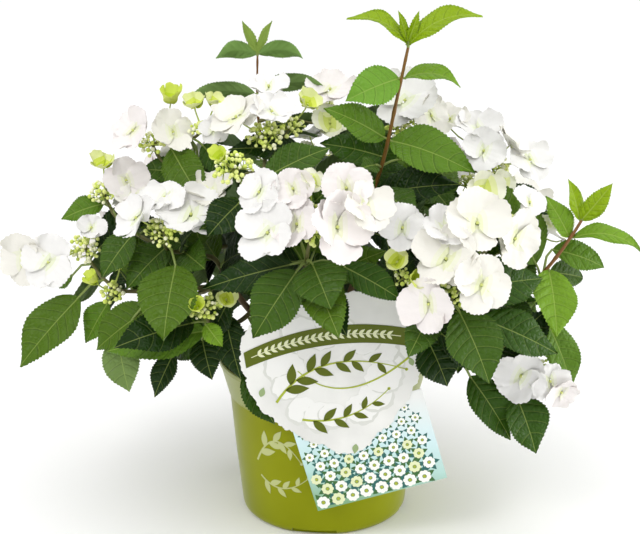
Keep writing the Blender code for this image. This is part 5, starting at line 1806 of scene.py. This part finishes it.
def add_band(prints, place):
    """An olive band across the card, with a pale vine of paired leaves along it."""
    top, bottom = flat_curve(*BAND_TOP, CURVE_STEPS), flat_curve(*BAND_BOTTOM, CURVE_STEPS)
    band = ([point for pair in zip(top, bottom) for point in pair], grid_faces(CURVE_STEPS + 1, 2))
    prints.add_plate(band, place, PRINT_LIFT, 0.08, "print_olive")
    middle_line = [((a[0] + b[0]) / 2, (a[1] + b[1]) / 2) for a, b in zip(top, bottom)]
    vine = ribbon_patch(middle_line[1:-1], [VINE_HALF_WIDTH] * (CURVE_STEPS - 1))
    prints.add_plate(vine, place, PRINT_LIFT + 0.04, THIN_PRINT, "print_pale")
    angle, length, width = VINE_LEAF
    for here, after in zip(middle_line[2:-3], middle_line[3:-2]):
        heading = math.degrees(math.atan2(after[1] - here[1], after[0] - here[0]))
        for side in (angle, -angle):
            patch = leaf_patch(here, heading + side, length, width)
            prints.add_plate(patch, place, PRINT_LIFT + 0.05, THIN_PRINT, "print_pale")


def fine_tag_front():
    """The ruffled card with pale petals, an olive band with a garland, and sprigs."""
    outline = ruffled(tag_outline(CARD_SCALLOP_STEPS), CARD_RUFFLE, 2)
    place = card_place(TAG_MIDDLE, TAG_TURN)
    batch = Batch("tag_card")
    batch.add_plate((outline, [tuple(range(len(outline)))]), place, 0, TAG_THICKNESS, "tag_card")
    for strap in strap_solids():
        batch.add_solid(strap, "tag_card")
    made_piece(batch, ["tag_front"], 40)
    prints = Batch("tag_card_print")
    add_card_petals(prints, place)
    add_band(prints, place)
    for sprig in CARD_SPRIGS:
        for patch, is_leaf in sprig_patches(*sprig):
            prints.add_plate(patch, place, PRINT_LIFT, PRINT_THICKNESS,
                             "print_olive" if is_leaf else "print_lime")
    swirl = ribbon_patch(flat_curve(*CARD_SWIRL, CURVE_STEPS), tapered((0.4, 0.9), CURVE_STEPS + 1))
    prints.add_plate(swirl, place, PRINT_LIFT - 0.04, PRINT_THICKNESS, "print_lime")
    for x, z, bearing, length in CARD_EDGE_LEAVES:
        patch = leaf_patch((x, z), bearing, length, length * 0.6)
        prints.add_plate(patch, place, PRINT_LIFT, PRINT_THICKNESS, "print_sage")
    made_piece(prints, [], 40)


def daisy_patches(middle, reach, rng):
    """Leaves behind, round petals over them and an eye: (patch, level, paint)."""
    low_leaf, high_leaf, first_petal, eye = DAISY_LEVELS
    turn = rng.uniform(0, 90)
    for number in range(DAISY_LEAVES):
        bearing = turn + 360 / DAISY_LEAVES * number
        patch = leaf_patch(middle, bearing, reach * DAISY_LEAF[0], reach * DAISY_LEAF[1])
        yield patch, rng.uniform(low_leaf, high_leaf), rng.choice(PICTURE_LEAVES)
    paint = rng.choice(DAISY_TONES)
    ring = reach * DAISY_RING
    for number in range(DAISY_PETALS):
        way = math.radians(turn + 360 / DAISY_PETALS * number)
        centre = (middle[0] + ring * math.cos(way), middle[1] + ring * math.sin(way))
        yield disc_patch(centre, reach * DAISY_PETAL, 8), first_petal + DAISY_PETAL_STEP * number, paint
    yield disc_patch(middle, reach * DAISY_EYE, 8), eye, "print_lime"


def daisy_places(rng):
    """The middle and the reach of every daisy: even rows, each shifted by half a space from the last."""
    width, height = PICTURE_SIZE
    rows = int((height - 2 * DAISY_MARGIN) / DAISY_SPACING[1]) + 1
    for row in range(rows):
        z = DAISY_MARGIN - height / 2 + DAISY_SPACING[1] * row
        x = DAISY_MARGIN - width / 2 + DAISY_SPACING[0] / 2 * (row % 2)
        reach = DAISY_REACH[0] + (DAISY_REACH[1] - DAISY_REACH[0]) * row / (rows - 1)
        while x < width / 2 - DAISY_MARGIN + 1:
            shift = [rng.uniform(-DAISY_SHIFT, DAISY_SHIFT) for _ in range(2)]
            yield (x + shift[0], z + shift[1]), reach
            x += DAISY_SPACING[0]


def fine_tag_picture():
    """The lower card: even rows of daisies, smaller row by row, over a ground that turns to pale sky."""
    place = card_place(PICTURE_MIDDLE, PICTURE_TURN)
    batch = Batch("picture_card")
    batch.add_plate((picture_outline(), [(0, 1, 2, 3)]), place, 0, TAG_THICKNESS, "picture_sky")
    made_piece(batch, ["tag_picture"], 40)
    prints = Batch("picture_card_print")
    rng = random.Random(SEED)
    half_width, half_height = PICTURE_SIZE[0] / 2, PICTURE_SIZE[1] / 2
    for middle, reach in daisy_places(rng):
        for patch, level, paint in daisy_patches(middle, reach, rng):
            if all(abs(u) < half_width and abs(v) < half_height for u, v in patch[0]):
                prints.add_plate(patch, place, level, THIN_PRINT, paint)
    made_piece(prints, [], 40)


def pot_print():
    """Two pale sprigs printed on the pot."""
    batch = Batch("pot_print")
    for sprig in POT_SPRIGS:
        for patch, _ in sprig_patches(*sprig):
            batch.add_plate(patch, pot_place, 0.12, PRINT_THICKNESS, "pot_print")
    made_piece(batch, [], 40)


# ---------------------------------------------------------------- dressing the sprays

STEM_TONES = {"tall_shoot": "stem_brown", "right_shoot": "stem_russet", "back_shoot": "stem_russet"}
SHOOT_SLIMNESS = {"tall_shoot": 0.7, "right_shoot": 0.75, "back_shoot": 0.45}   # of the stem at its tip
SKY_PLACES = ((-115, -45, 150), (-130, 15, 110), (-200, -90, 210), (225, 30, 205), (225, 10, 220))
SKY_REACH = 8           # a filling leaf whose tip is this near one of those is left out
MIDDLE_HALF = 45        # sprays whose tip is nearer the middle than this are the middle group


def group_of(spray):
    """Which third of the plant a spray belongs to."""
    across_plant = spray.stem[-1][0]
    if abs(across_plant) < MIDDLE_HALF:
        return "middle"
    return "left" if across_plant < 0 else "right"


def leaf_tone(leaf, rng):
    """The leaf's own tone, or for a plain dark leaf one of the outer greens, or one of the darker inner
    greens that paint the shade inside the crown.
    """
    if leaf.tone != "dark":
        return leaf.tone
    in_inner_shade = math.sqrt(reach_squared(Vector(leaf.foot))) < INNER_REACH
    return rng.choice(INNER_SHADE_TONES if in_inner_shade else OUTER_TONES)


def covers_sky(leaf):
    """Whether a leaf ends where the photo shows clear sky between the shoots."""
    tip = along_leaf(leaf)
    return any((tip - Vector(place)).length < SKY_REACH for place in SKY_PLACES)


def dress_sprays(grown):
    """Leaves, twigs, florets and buds of each third of the plant, each kind a piece of its own."""
    for group in ("left", "middle", "right"):
        names = [name for name, spray in SPRAYS.items() if group_of(spray) == group]
        leaves, twigs = Batch(f"leaves_{group}"), Batch(f"twigs_{group}")
        blossom, buds = Batch(f"florets_{group}"), Batch(f"buds_{group}")
        for name in names:
            rng = random.Random(name)
            stem = grown[name][0].plan
            for plan in (piece.plan for piece in grown[name]):
                if isinstance(plan, PlacedLeaf):
                    if not covers_sky(plan.leaf):
                        add_blade(leaves, plan.leaf, leaf_tone(plan.leaf, rng), rng)
                        add_petiole(twigs, plan, stem)
                elif isinstance(plan, Floret):
                    add_floret(blossom, plan, rng)
                elif isinstance(plan, Buds):
                    add_buds(buds, plan, rng)
                else:
                    paint = STEM_TONES.get(name, "stem_green") if plan is stem else "stalk"
                    add_stem(twigs, plan, paint, SHOOT_SLIMNESS.get(name, 1))
        for batch in (leaves, twigs, blossom, buds):
            made_piece(batch, names)


# ---------------------------------------------------------------- floor, light and camera

CAMERA_PLACE = Vector((-3.7, -1360, 663))
CAMERA_DROP = 17.75     # below level
CAMERA_LENS = 90        # on a film 36 mm wide
FLOOR_HALF = 6000
HORIZON_LIGHT = 0.1     # the studio's brightness at the horizon and straight up
ZENITH_LIGHT = 1.52
LIT_HEIGHT = 220        # what the lamps point at, above the pot's foot
LIGHTS = (              # name, place, size, power, colour
    ("key", (-900, -1300, 1500), 600, 10, (1.0, 0.99, 0.97)),
    ("fill", (1300, -900, 900), 1200, 4.5, (1.0, 1.0, 0.99)),
    ("side", (1500, 0, 350), 800, 9, (1.0, 1.0, 0.99)),
)


def add_floor():
    half = FLOOR_HALF
    corners = [Vector((x, y, 0)) for x, y in ((-half, -half), (half, -half), (half, half), (-half, half))]
    mesh = new_mesh("floor", corners, [(0, 1, 2, 3)])
    mesh.materials.append(plain_material("floor", (0.98, 0.98, 0.98), 0.9))
    new_object("floor", mesh)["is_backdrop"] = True


def add_studio():
    """Soft light that is strongest from above.

    Beyond the floor's far edge the studio shows white, however dimly it lights the plant from there.
    """
    world = bpy.data.worlds.new("studio")
    bpy.context.scene.world = world
    world.use_nodes = True
    tree = world.node_tree
    parts = add_node(tree, "SeparateXYZ", Vector=add_node(tree, "TexCoord").outputs["Generated"])
    strength = add_node(tree, "MapRange", Value=parts.outputs["Z"], To_Min=HORIZON_LIGHT, To_Max=ZENITH_LIGHT)
    brighter = add_node(tree, "Math")
    brighter.operation = 'MAXIMUM'
    tree.links.new(strength.outputs["Result"], brighter.inputs[0])
    tree.links.new(add_node(tree, "LightPath").outputs["Is Camera Ray"], brighter.inputs[1])
    set_inputs(tree.nodes["Background"], Color=(1, 1, 1, 1), Strength=brighter.outputs["Value"])


def add_lamps():
    """A key light from the upper left, a fill light, and one that lifts the right side."""
    for name, place, size, power, tint in LIGHTS:
        light = bpy.data.lights.new(name, 'AREA')
        light.size = size * MM
        light.energy = power
        light.color = tint
        lamp = new_object(name, light)
        lamp.location = Vector(place) * MM
        toward = Vector((0, 0, LIT_HEIGHT)) - Vector(place)
        lamp.rotation_euler = toward.to_track_quat('-Z', 'Y').to_euler()


def add_camera():
    data = bpy.data.cameras.new("camera")
    data.lens = CAMERA_LENS
    camera = new_object("camera", data)
    camera.location = CAMERA_PLACE * MM
    camera.rotation_euler = (math.radians(90 - CAMERA_DROP), 0, 0)
    bpy.context.scene.camera = camera
    bpy.context.scene.view_settings.view_transform = 'Standard'


def write_sizes():
    """Gathers the boxes of the CAD model and of the finished one; nothing is written."""
    boxes = {name: [list(corner) for corner in bounds]
             for name, bounds in (("cad", CAD_BOUNDS), ("visual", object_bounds()))}


def main():
    plant_materials()
    pot_materials()
    card_materials()
    fine_pot()
    fine_compost()
    fine_stump()
    fine_canes()
    fine_tag_front()
    fine_tag_picture()
    pot_print()
    dress_sprays(grow_plant())
    add_floor()
    add_studio()
    add_lamps()
    add_camera()
    write_sizes()


main()
